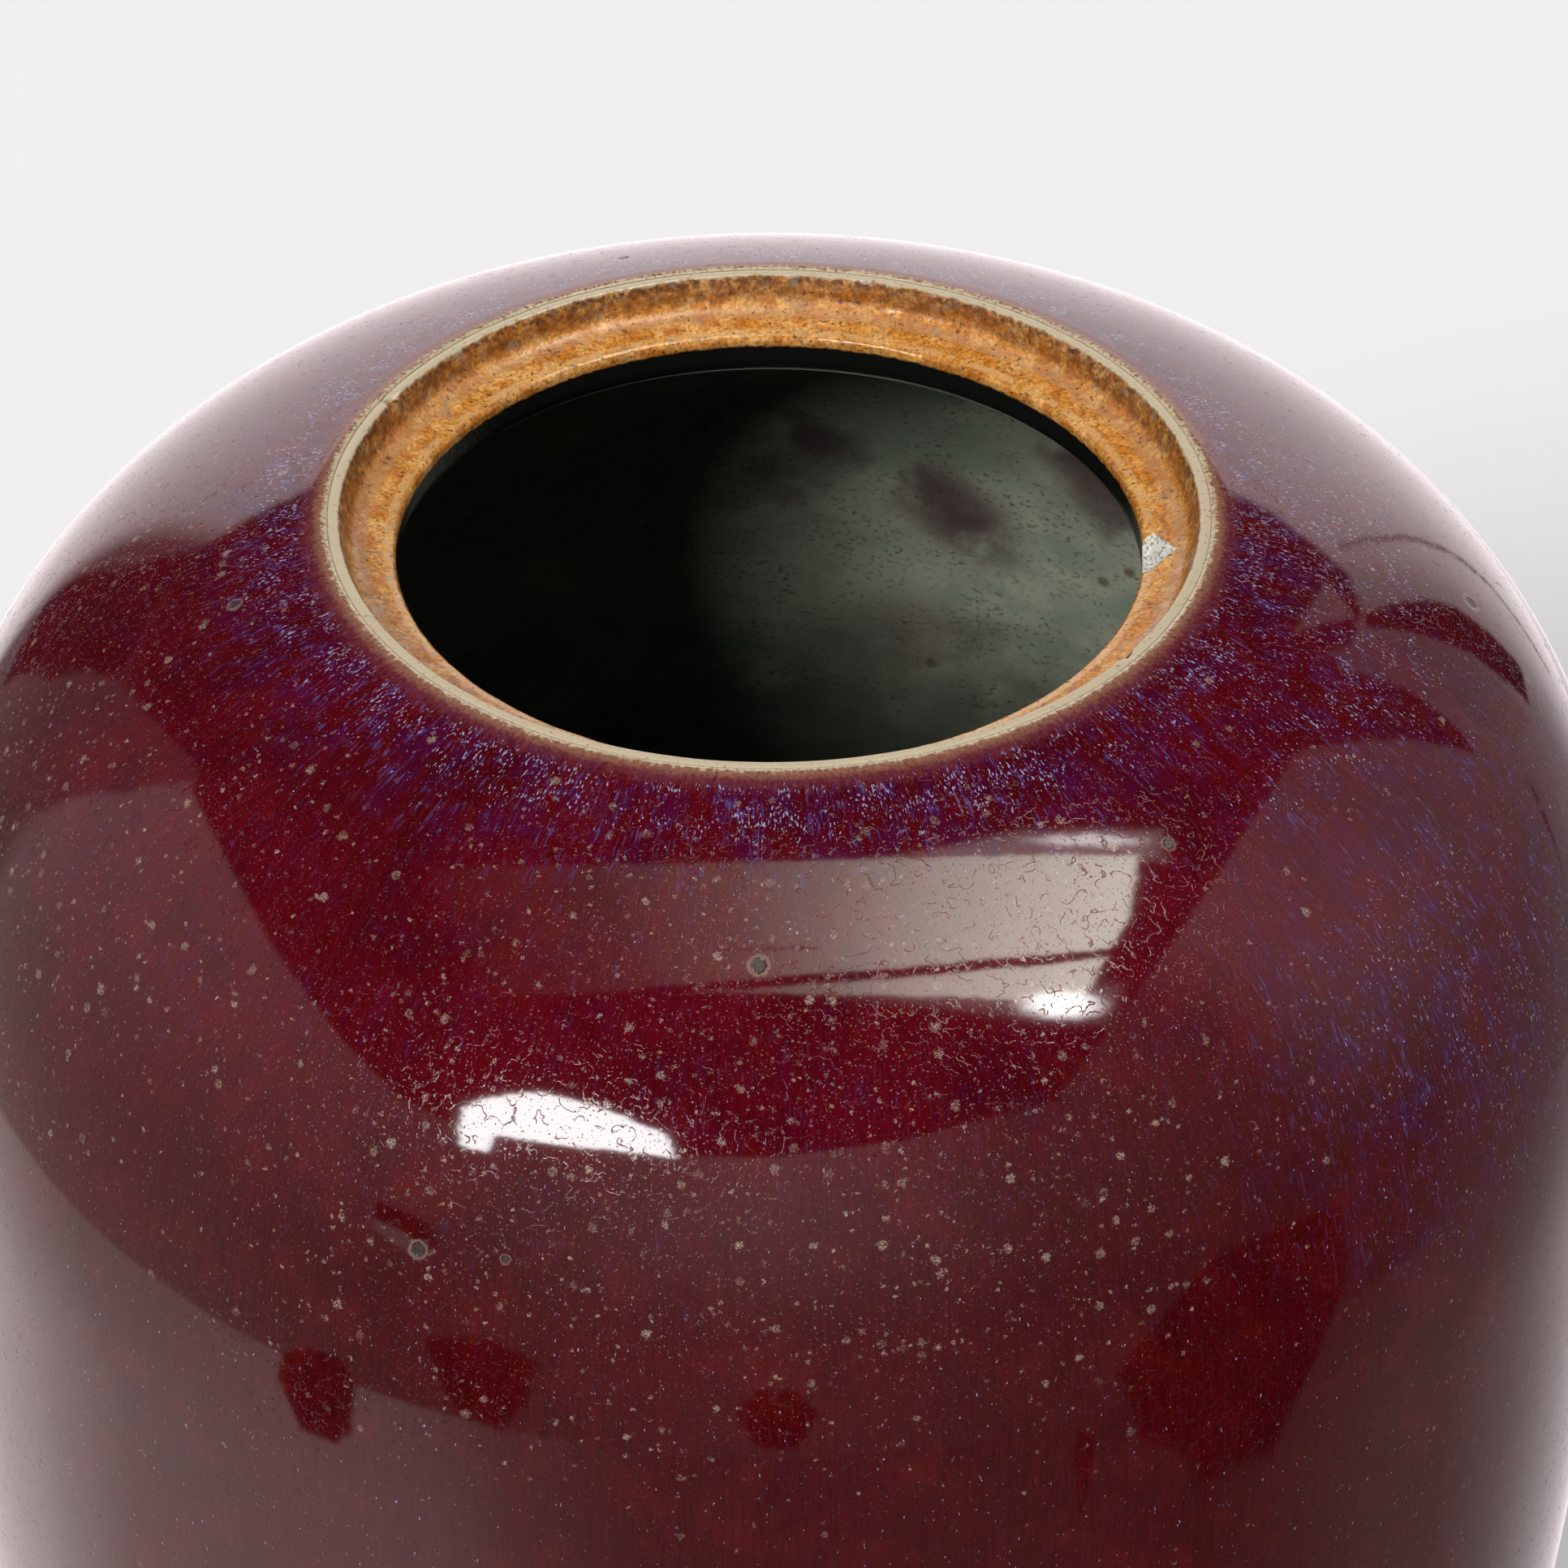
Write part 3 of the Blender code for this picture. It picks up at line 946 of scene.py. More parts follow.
def offset_inward(points: Sequence[Vector], depth: float) -> list[Vector]:
    """Move a profile, drawn top to bottom on its outer side, into the solid.

    Args:
        points: The profile's points.
        depth: How far they move, in metres.

    Returns:
        The moved points.
    """
    moved = []
    last = len(points) - 1
    for index, point in enumerate(points):
        along = points[min(index + 1, last)] - points[max(index - 1, 0)]
        if point.x == 0.0:
            along = Vector((1.0, 0.0))
        moved.append(point + Vector((along.y, -along.x)).normalized() * depth)
    return moved


def settle_faces(made: bmesh.types.BMesh) -> None:
    """Put the faces in the order of their corners, because spin leaves them in no fixed order.

    Args:
        made: The mesh.
    """
    made.verts.index_update()
    count = len(made.verts)
    numbers = {face: [vert.index for vert in face.verts] for face in made.faces}
    made.faces.sort(key=lambda face: min(numbers[face]) * count + max(numbers[face]))
    made.faces.index_update()


def turned(profile: Sequence[Vector], closed: bool, steps: int) -> bmesh.types.BMesh:
    """Turn a profile once round the Z axis.

    Args:
        profile: Radius and height of each point.
        closed: Whether the last point joins the first, as on a ring.
        steps: How many steps the turn has.

    Returns:
        The turned surface, closed at its seam and poles, with its faces pointing outwards.
    """
    made = bmesh.new()
    points = [made.verts.new((point.x, 0.0, point.y)) for point in profile]
    for first, second in zip(points, points[1:]):
        made.edges.new((first, second))
    if closed:
        made.edges.new((points[-1], points[0]))
    bmesh.ops.spin(
        made,
        geom=list(made.verts) + list(made.edges),
        cent=(0.0, 0.0, 0.0),
        axis=(0.0, 0.0, 1.0),
        dvec=(0.0, 0.0, 0.0),
        angle=2 * math.pi,
        steps=steps,
        use_merge=True,
    )
    bmesh.ops.remove_doubles(made, verts=list(made.verts), dist=MERGE_DISTANCE)
    bmesh.ops.recalc_face_normals(made, faces=list(made.faces))
    settle_faces(made)
    return made


def pressed(made: bmesh.types.BMesh, press: Callable[[Vector], Vector]) -> None:
    """Move each point of a mesh by what a function says for its place.

    Args:
        made: The mesh.
        press: Gives the move for a place, both in metres.
    """
    for vert in made.verts:
        vert.co += press(vert.co)


def smooth_step(value: float, low: float, high: float) -> float:
    """Pass softly from 0 to 1 as a number goes from low to high, as the finishes do."""
    share = min(max((value - low) / (high - low), 0.0), 1.0)
    return share * share * (3 - 2 * share)


def outward_of(place: Vector) -> Vector:
    """Return the direction away from the Z axis at a place, with no height."""
    flat = Vector((place.x, place.y, 0.0))
    return flat.normalized() if flat.length > MERGE_DISTANCE else flat


def finished_piece(name: str, made: bmesh.types.BMesh, material: bpy.types.Material) -> bpy.types.Object:
    """Make an object of a mesh that is already in its place.

    Args:
        name: The piece's name.
        made: The mesh, which is freed.
        material: The piece's first material.

    Returns:
        The new object, at the origin and shaded smooth.
    """
    mesh = bpy.data.meshes.new(name)
    made.to_mesh(mesh)
    made.free()
    mesh.shade_smooth()
    mesh.materials.append(material)
    piece = bpy.data.objects.new(name, mesh)
    bpy.context.scene.collection.objects.link(piece)
    return piece


def dressed(piece: bpy.types.Object, body: str, node: str) -> bpy.types.Object:
    """Let a finished piece stand for its node and move with its body.

    Args:
        piece: The piece.
        body: The body it moves with.
        node: The node it stands for.

    Returns:
        The same piece.
    """
    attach(piece, body)
    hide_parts(node)
    return piece


@dataclass(frozen=True)
class JarShape:
    """Measures of the jar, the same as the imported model's, in metres.

    Attributes:
        hidden_share: The share of the gap under a coat that its hidden side keeps free.
        normal_step: How far apart the stations are that a normal is worked out from.
        halvings: How often the search for a height halves its range.
    """

    height: float = 0.245
    belly_radius: float = 0.1103
    belly_drop: float = 0.078
    foot_radius: float = 0.078
    shoulder_spread: float = 2.79
    shoulder_rise: float = 2.53
    taper_power: float = 3.3
    wall_thickness: float = 0.0065
    floor_thickness: float = 0.009
    inner_floor_corner: float = 0.012
    foot_bevel: float = 0.0012
    mouth_radius: float = 0.0530
    lip_width: float = 0.0022
    seat_width: float = 0.0068
    seat_wall_draft: float = 0.0006
    seat_wall_depth: float = 0.0018
    seat_cove_radius: float = 0.0027
    ledge_slope: float = math.radians(12)
    throat_edge_radius: float = 0.0010
    throat_face_height: float = 0.0045
    throat_arris: float = 0.0010
    outer_glaze: float = 0.0007
    outer_glaze_at_lip: float = 0.0003
    glaze_thinning_width: float = 0.010
    glaze_line_height: float = 0.005
    inner_glaze: float = 0.0005
    coat_gap: float = 0.0003
    hidden_share: float = 0.8
    normal_step: float = 0.0001
    halvings: int = 40

    @property
    def belly_height(self) -> float:
        """Height of the widest ring above the floor."""
        return self.height - self.belly_drop

    @property
    def throat_radius(self) -> float:
        """Radius of the throat, inside the seat."""
        return self.mouth_radius - self.seat_width

    def outline_point(self, station: float) -> Vector:
        """Return a point over the glaze.

        Args:
            station: 0 to 1 down the shoulder, a superellipse, and 1 to 2 down the taper.

        Returns:
            Radius and height.
        """
        if station > 1.0:
            share = min(station, 2.0) - 1.0
            inset = (self.belly_radius - self.foot_radius) * share ** self.taper_power
            return Vector((self.belly_radius - inset, self.belly_height * (1.0 - share)))
        mouth_share = ((self.mouth_radius + self.lip_width) / self.belly_radius) ** self.shoulder_spread
        full_rise = self.belly_drop / (1.0 - mouth_share) ** (1.0 / self.shoulder_rise)
        start = math.asin(math.sqrt(mouth_share))
        angle = start + (math.pi / 2 - start) * max(station, 0.0)
        rise = full_rise * max(math.cos(angle), 0.0) ** (2.0 / self.shoulder_rise)
        radius = self.belly_radius * math.sin(angle) ** (2.0 / self.shoulder_spread)
        return Vector((radius, self.belly_height + rise))

    def inward_normal(self, station: float) -> Vector:
        """Find the direction into the wall at a station of the outline.

        Args:
            station: The station, as in outline_point.

        Returns:
            The direction, of length 1.
        """
        ahead = self.outline_point(station + self.normal_step)
        along = ahead - self.outline_point(station - self.normal_step)
        return Vector((along.y, -along.x)).normalized()

    def wall_point(self, station: float, depth: float) -> Vector:
        """Return a point at a depth under the glazed outline."""
        return self.outline_point(station) + self.inward_normal(station) * depth

    def station_at_height(self, depth: float, height: float) -> float:
        """Find by halving where the curve at a depth under the outline passes a height.

        Args:
            depth: Depth under the outline, in metres.
            height: The height, in metres.

        Returns:
            The station.
        """
        upper, lower = 0.0, 2.0
        for _ in range(self.halvings):
            middle = (upper + lower) / 2
            if self.wall_point(middle, depth).y > height:
                upper = middle
            else:
                lower = middle
        return (upper + lower) / 2

    def glaze_thickness(self, station: float) -> float:
        """Find how thick the outer glaze is, which thins where it runs up to the lip.

        Args:
            station: The station, as in outline_point.

        Returns:
            The thickness in metres.
        """
        run = self.outline_point(station).x - self.outline_point(0.0).x
        share = min(run / self.glaze_thinning_width, 1.0)
        return self.outer_glaze_at_lip + (self.outer_glaze - self.outer_glaze_at_lip) * share

    @property
    def cove_center(self) -> Vector:
        """Centre of the cove between the seat's wall and its ledge."""
        wall_foot = self.mouth_radius - self.seat_wall_draft
        return Vector((wall_foot - self.seat_cove_radius, self.height - self.seat_wall_depth))

    def ledge_height(self, radius: float) -> float:
        """Find the height of the sloping ledge at a radius.

        Args:
            radius: The radius in metres.

        Returns:
            The height in metres.
        """
        slope = self.ledge_slope
        foot = self.cove_center + Vector((math.sin(slope), -math.cos(slope))) * self.seat_cove_radius
        return foot.y - (foot.x - radius) * math.tan(slope)

    @property
    def throat_top(self) -> float:
        """Height of the ledge's inner edge."""
        return self.ledge_height(self.throat_radius + self.throat_edge_radius)

    @property
    def seat_underside(self) -> float:
        """Height of the ceiling inside the jar, round the throat."""
        return self.throat_top - self.throat_face_height - self.throat_arris

    def zones(self) -> MouthZones:
        """Give the mouth's zones to the clay's finish, in millimetres.

        Returns:
            The zones.
        """
        throat_shade_line = self.throat_top - self.throat_edge_radius - 0.0005
        zones = (self.height, self.mouth_radius, self.throat_radius, throat_shade_line)
        return MouthZones(*(zone / MILLIMETRE for zone in zones))


@dataclass
class Jar:
    """The jar: its fired clay and its two coats of glaze, as three pieces on one body.

    Attributes:
        lip_fall: How far the lip's outer edge lies below its crest.
        edge_fall: How far the feathered edge of the flambe coat lies below the lip.
        drip: How far the coat's lowest point lies in and down from the glaze line.
        roll_height: Height of the fat roll at the foot.
        roll_reach: How far the roll reaches up and down.
        wave_start: Depths under the lip between which the thrown waves grow.
        swing_circle: Circle in the noise that the glaze line's swing is read from.
        swing_top: Height up to which the coat follows that swing.
        wear: Size and height of each layer of the seat's unevenness.
        lip_dip: How far the lip dips in places.
        lip_wave: How far apart those places lie.
        nicks: Direction in degrees, width and depth of each nick in the lip.
        chip_corners: The chip's corners from above, in millimetres, as its other places.
        chip_middle: The point that the corners go round.
        chip_top: Height of the corners.
        chip_tip: The point that the chip narrows to.
        chip_bottom: How wide its bottom is next to its top, along X and along Y.
        chip_grain: Size and height of its broken grain, in metres.
        chip_seed: Number that the grain is drawn from, the same one each run.
        pits: Middle of each dark spot in the flambe coat, in millimetres, and its radius.
    """

    shape: JarShape = field(default_factory=JarShape)
    steps: int = 384
    shoulder_rings: int = 64
    taper_rings: int = 56
    under_rings: int = 16
    corner_rings: int = 9
    wave_height: float = 0.00006
    wave_length: float = 0.032
    ring_pitch: float = 0.011
    ring_height: float = 0.00009
    glaze_line_swing: float = 0.0011
    roll_thickness: float = 0.00035
    feather: float = 0.0008
    lip_roll: float = 0.0004
    lip_fall: float = 0.0009
    edge_fall: float = 0.00016
    drip: tuple[float, float] = (0.0003, 0.0005)
    roll_height: float = 0.0068
    roll_reach: float = 0.0032
    wave_start: tuple[float, float] = (0.002, 0.02)
    swing_circle: float = 3.2
    swing_top: float = 0.022
    wear: tuple[tuple[float, float], ...] = ((0.004, 0.00010), (0.0016, 0.00004))
    lip_dip: float = 0.00008
    lip_wave: float = 0.006
    nicks: tuple[tuple[float, float, float], ...] = ((153.6, 0.0016, 0.0005), (-36.3, 0.0013, 0.0004))
    chip_corners: tuple[tuple[float, float], ...] = (
        (48.3, 2.0), (44.2, 0.4), (44.2, -8.6), (47.1, -7.9), (50.8, -3.1),
    )
    chip_middle: tuple[float, float] = (46.6, -3.2)
    chip_top: float = 241.2
    chip_tip: Place = (46.2, -3.0, 237.6)
    chip_bottom: tuple[float, float] = (0.25, 0.45)
    chip_grain: tuple[float, float] = (0.0011, 0.00022)
    chip_seed: int = 7
    pits: tuple[tuple[Place, float], ...] = (
        ((-65.1, -15.6, 241.1), 0.8),
        ((-19.0, 61.7, 242.0), 1.0),
        ((-1.3, -79.1, 235.0), 1.0),
        ((-40.7, -95.7, 206.4), 0.9),
        ((87.7, 2.1, 228.6), 1.1),
        ((46.7, -59.0, 237.2), 0.7),
        ((-30.5, -98.9, 207.6), 0.5),
        ((36.0, 98.0, 196.0), 0.8),
    )

    def stations(self, first: float, last: float, shoulder: int, taper: int) -> list[float]:
        """Space stations evenly down the shoulder to the belly, and on down the taper."""
        above = [first + (1.0 - first) * index / shoulder for index in range(shoulder)]
        return above + [1.0 + (last - 1.0) * index / taper for index in range(taper + 1)]

    def inner_wall(self, coat: float, rings: int) -> list[Vector]:
        """Return the inside of the jar from the floor's centre up to the throat.

        Args:
            coat: How far the profile is moved in by a coat, in metres.
            rings: How many rings the wall has above and below the belly.

        Returns:
            The profile.
        """
        shape = self.shape
        depth = shape.outer_glaze + shape.coat_gap + shape.wall_thickness
        corner_height = shape.floor_thickness + shape.inner_floor_corner
        lowest = shape.station_at_height(depth + shape.inner_floor_corner, corner_height)
        highest = shape.station_at_height(depth, shape.seat_underside)
        corner_center = shape.wall_point(lowest, depth + shape.inner_floor_corner)
        outward = -shape.inward_normal(lowest)
        wall_angle = math.atan2(outward.y, outward.x)
        radius = shape.inner_floor_corner - coat
        corner = arc(corner_center, radius, -math.pi / 2, wall_angle, self.corner_rings)
        heights = self.stations(highest, lowest, rings, rings)
        wall = [shape.wall_point(at, depth + coat) for at in heights]
        throat = Vector((shape.throat_radius + shape.throat_arris + coat, shape.seat_underside - coat))
        floor = shape.floor_thickness + coat
        middle = [Vector((corner[0].x * share, floor)) for share in (0.0, 0.25, 0.5, 0.75)]
        return middle + corner[:-1] + wall[::-1] + [throat]

    def seat(self) -> list[Vector]:
        """Draw the seat from the throat's lower edge up to the lip's inner edge.

        Returns:
            The profile, as radius and height of each point.
        """
        shape = self.shape
        slope = shape.ledge_slope
        edge_radius = shape.throat_edge_radius
        edge_center = Vector((shape.throat_radius + edge_radius, shape.throat_top - edge_radius))
        foot = shape.throat_top - shape.throat_face_height
        rise = shape.throat_top - edge_radius - foot
        face = [Vector((shape.throat_radius, foot + rise * share)) for share in (0.0, 0.3, 0.6, 0.85)]
        edge = arc(edge_center, edge_radius, math.pi, math.pi / 2 + slope, self.corner_rings)
        cove_radius = shape.seat_cove_radius
        cove = arc(shape.cove_center, cove_radius, -math.pi / 2 + slope, 0.0, self.corner_rings)
        ledge = [edge[-1].lerp(cove[0], share) for share in (0.2, 0.4, 0.6, 0.8)]
        top = Vector((shape.mouth_radius, shape.height - self.lip_roll))
        wall = [cove[-1].lerp(top, share) for share in (0.3, 0.6, 0.85)]
        return face + edge + ledge + cove + wall

    def lip(self) -> list[Vector]:
        """Draw the lip's soft crest, which dips under the edge of the outer glaze.

        Returns:
            The profile, as radius and height of each point.
        """
        shape = self.shape
        inner = Vector((shape.mouth_radius + self.lip_roll, shape.height - self.lip_roll))
        crest = arc(inner, self.lip_roll, math.pi, math.pi / 2, 6)
        outer = shape.mouth_radius + shape.lip_width
        flat = crest[-1].x
        fall = []
        for share in (0.25, 0.5, 0.7, 0.85, 1.0):
            drop = self.lip_fall * share ** 3
            fall.append(Vector((flat + (outer - flat) * share, shape.height - drop)))
        return crest + fall

    def clay_profile(self) -> list[Vector]:
        """Draw the fired body: floor, inner wall, seat, lip, outer wall and bare foot.

        Returns:
            The profile, as radius and height of each point.
        """
        shape = self.shape
        line = shape.station_at_height(0.0, shape.glaze_line_height)
        under = []
        for at in self.stations(0.03, line, self.under_rings, self.under_rings):
            under.append(shape.wall_point(at, shape.glaze_thickness(at) + shape.coat_gap))
        foot_radius = under[-1].x
        bevel = shape.foot_bevel
        turn = arc(Vector((foot_radius - bevel, bevel)), bevel, 0.0, -math.pi / 2, 6)
        side = [Vector((foot_radius, shape.glaze_line_height * share)) for share in (0.8, 0.5)]
        bottom = [Vector(((foot_radius - bevel) * share, 0.0)) for share in (0.75, 0.5, 0.25, 0.0)]
        inside = self.inner_wall(0.0, self.under_rings)
        return inside + self.seat() + self.lip() + under + side + turn + bottom

    def flambe_profile(self) -> list[Vector]:
        """Draw the flambe coat: a feathered edge at the lip, a fat roll at the glaze line.

        Returns:
            The profile, as radius and height of each point.
        """
        shape = self.shape
        line = shape.station_at_height(0.0, shape.glaze_line_height)
        start = shape.outline_point(0.0)
        feather = []
        for share in (0.0, 0.35, 0.7):
            drop = self.edge_fall * (1.0 - share) ** 2
            feather.append(Vector((start.x - self.feather * (1.0 - share), start.y - drop)))
        heights = self.stations(0.0, line, self.shoulder_rings, self.taper_rings)
        outside = [shape.outline_point(at) for at in heights]
        under = []
        gap = shape.coat_gap * shape.hidden_share
        for at in self.stations(0.02, line, self.under_rings, self.under_rings):
            under.append(shape.wall_point(at, shape.glaze_thickness(at) + gap))
        drip = Vector((outside[-1].x - self.drip[0], outside[-1].y - self.drip[1]))
        return feather + outside + [drip] + under[::-1]

    def celadon_profile(self) -> list[Vector]:
        """Draw the coat inside, open at the throat, from the floor up to under the seat.

        Returns:
            The profile, as radius and height of each point.
        """
        coat = self.shape.coat_gap + self.shape.inner_glaze
        inside = self.inner_wall(coat, self.shoulder_rings // 2)
        return inside + self.inner_wall(self.shape.coat_gap, self.under_rings)[::-1]

    def glaze_waves(self, place: Vector) -> Vector:
        """Press the coat in by the thrown wall's soft waves, swing its line and roll it at the foot.

        Args:
            place: A place on the piece.

        Returns:
            How far it moves, in metres.
        """
        inward = -outward_of(place)
        strength = smooth_step(self.shape.height - place.z, *self.wave_start)
        wave = 0.5 + 0.5 * noise.noise(place / self.wave_length)
        move = inward * wave * self.wave_height * strength
        low = 1.0 - smooth_step(place.z, self.shape.glaze_line_height, self.swing_top)
        around = outward_of(place) * self.swing_circle
        swing = noise.noise(around) + 0.4 * noise.noise(around * 4.1)
        move.z += swing * self.glaze_line_swing * low
        roll = 1.0 - smooth_step(abs(place.z - self.roll_height), 0.0, self.roll_reach)
        return move - inward * roll * self.roll_thickness * (0.6 + 0.4 * noise.noise(around * 2.0))

    def thrown_rings(self, place: Vector) -> Vector:
        """Press the potter's finger rings into the inside coat.

        Args:
            place: A place on the piece.

        Returns:
            How far it moves, in metres.
        """
        shape = self.shape
        middle = smooth_step(place.z, 0.02, 0.05) * smooth_step(shape.seat_underside - place.z, 0.0, 0.03)
        turn = math.atan2(place.y, place.x)
        ring = math.sin(2 * math.pi * place.z / self.ring_pitch + turn)
        return outward_of(place) * ring * self.ring_height * middle

    def seat_wear(self, place: Vector) -> Vector:
        """Make the seat uneven, as turning leaves it, and put the two nicks in the lip.

        Args:
            place: A place on the piece.

        Returns:
            How far it moves, in metres.
        """
        shape = self.shape
        if place.z < shape.seat_underside + 0.0008:
            return Vector((0.0, 0.0, 0.0))
        grain = sum(noise.noise(place / size) * height for size, height in self.wear)
        seat = 1.0 - smooth_step(place.z, shape.height - 0.0016, shape.height - 0.0005)
        move = Vector((0.0, 0.0, grain * seat))
        for azimuth, width, depth in self.nicks:
            angle = math.radians(azimuth)
            nick = Vector((math.cos(angle), math.sin(angle), 0.0)) * (shape.mouth_radius + 0.0002)
            nick.z = shape.height
            hit = 1.0 - smooth_step((place - nick).length, 0.3 * width, width)
            move += (outward_of(place) * 0.7 - Vector((0.0, 0.0, 1.0))) * hit * depth
        lip = smooth_step(place.z, shape.height - 0.0006, shape.height)
        move.z -= lip * self.lip_dip * (0.5 + 0.5 * noise.noise(place / self.lip_wave))
        return move

    def chip_cutter(self) -> bpy.types.Object:
        """Make the cutter for the chip: a rough wedge with five corners, its point down.

        Returns:
            The cutter, which takes no part in the render.
        """
        made = bmesh.new()
        bmesh.ops.create_cone(made, cap_ends=True, segments=5, radius1=0.001, radius2=0.003, depth=0.002)
        upper = sorted((v for v in made.verts if v.co.z > 0), key=lambda v: math.atan2(v.co.y, v.co.x))
        lower = sorted((v for v in made.verts if v.co.z < 0), key=lambda v: math.atan2(v.co.y, v.co.x))
        middle_x, middle_y = self.chip_middle
        ordered = sorted(self.chip_corners, key=lambda c: math.atan2(c[1] - middle_y, c[0] - middle_x))
        tip_x, tip_y, tip_z = self.chip_tip
        wide, deep = self.chip_bottom
        for top, bottom, (x, y) in zip(upper, lower, ordered):
            top.co = Vector((x, y, self.chip_top)) * MILLIMETRE
            bottom.co = Vector((tip_x + (x - tip_x) * wide, tip_y + (y - tip_y) * deep, tip_z)) * MILLIMETRE
        bmesh.ops.recalc_face_normals(made, faces=list(made.faces))
        bmesh.ops.subdivide_edges(made, edges=list(made.edges), cuts=5, use_grid_fill=True)
        settle_faces(made)
        bmesh.ops.triangulate(made, faces=list(made.faces))
        noise.seed_set(self.chip_seed)
        size, height = self.chip_grain
        pressed(made, lambda place: noise.noise_vector(place / size) * height)
        cutter = finished_piece("chip_cutter", made, BrokenClay("broken_stoneware").material())
        cutter.hide_render = True
        return cutter

    def cut_chip(self, clay: bpy.types.Object) -> None:
        """Cut the chip out of the seat's inner edge and keep the result as the piece's mesh.

        Args:
            clay: The fired body.
        """
        cutter = self.chip_cutter()
        chip = clay.modifiers.new("chip", "BOOLEAN")
        chip.operation = "DIFFERENCE"
        chip.object = cutter
        chip.solver = "EXACT"
        chip.material_mode = "TRANSFER"
        graph = bpy.context.evaluated_depsgraph_get()
        cut = bpy.data.meshes.new_from_object(clay.evaluated_get(graph))
        clay.modifiers.clear()
        clay.data = cut
        cut.name = clay.name
        bpy.data.objects.remove(cutter)

    def build(self) -> list[bpy.types.Object]:
        """Build and dress the jar's three pieces.

        Returns:
            The pieces.
        """
        shape = self.shape
        body = turned(self.clay_profile(), False, self.steps)
        pressed(body, self.seat_wear)
        clay = finished_piece("jar_clay", body, WashedClay("washed_stoneware", shape.zones()).material())
        self.cut_chip(clay)
        coat = turned(self.flambe_profile(), True, self.steps)
        pressed(coat, self.glaze_waves)
        edge = (shape.mouth_radius + shape.lip_width) / MILLIMETRE
        flow = GlazeFlow(0.0, edge - 0.5, shape.height / MILLIMETRE, 1.0)
        glaze = FlambeGlaze("flambe_on_jar", flow, self.pits)
        flambe = finished_piece("jar_flambe", coat, glaze.material())
        lining = turned(self.celadon_profile(), False, self.steps // 2)
        pressed(lining, self.thrown_rings)
        lined = CeladonGlaze("celadon_inside", shape.seat_underside / MILLIMETRE)
        celadon = finished_piece("jar_celadon", lining, lined.material())
        return [
            dressed(clay, "jar", "jar_body"),
            dressed(flambe, "jar", "outer_glaze"),
            dressed(celadon, "jar", "inner_glaze"),
        ]


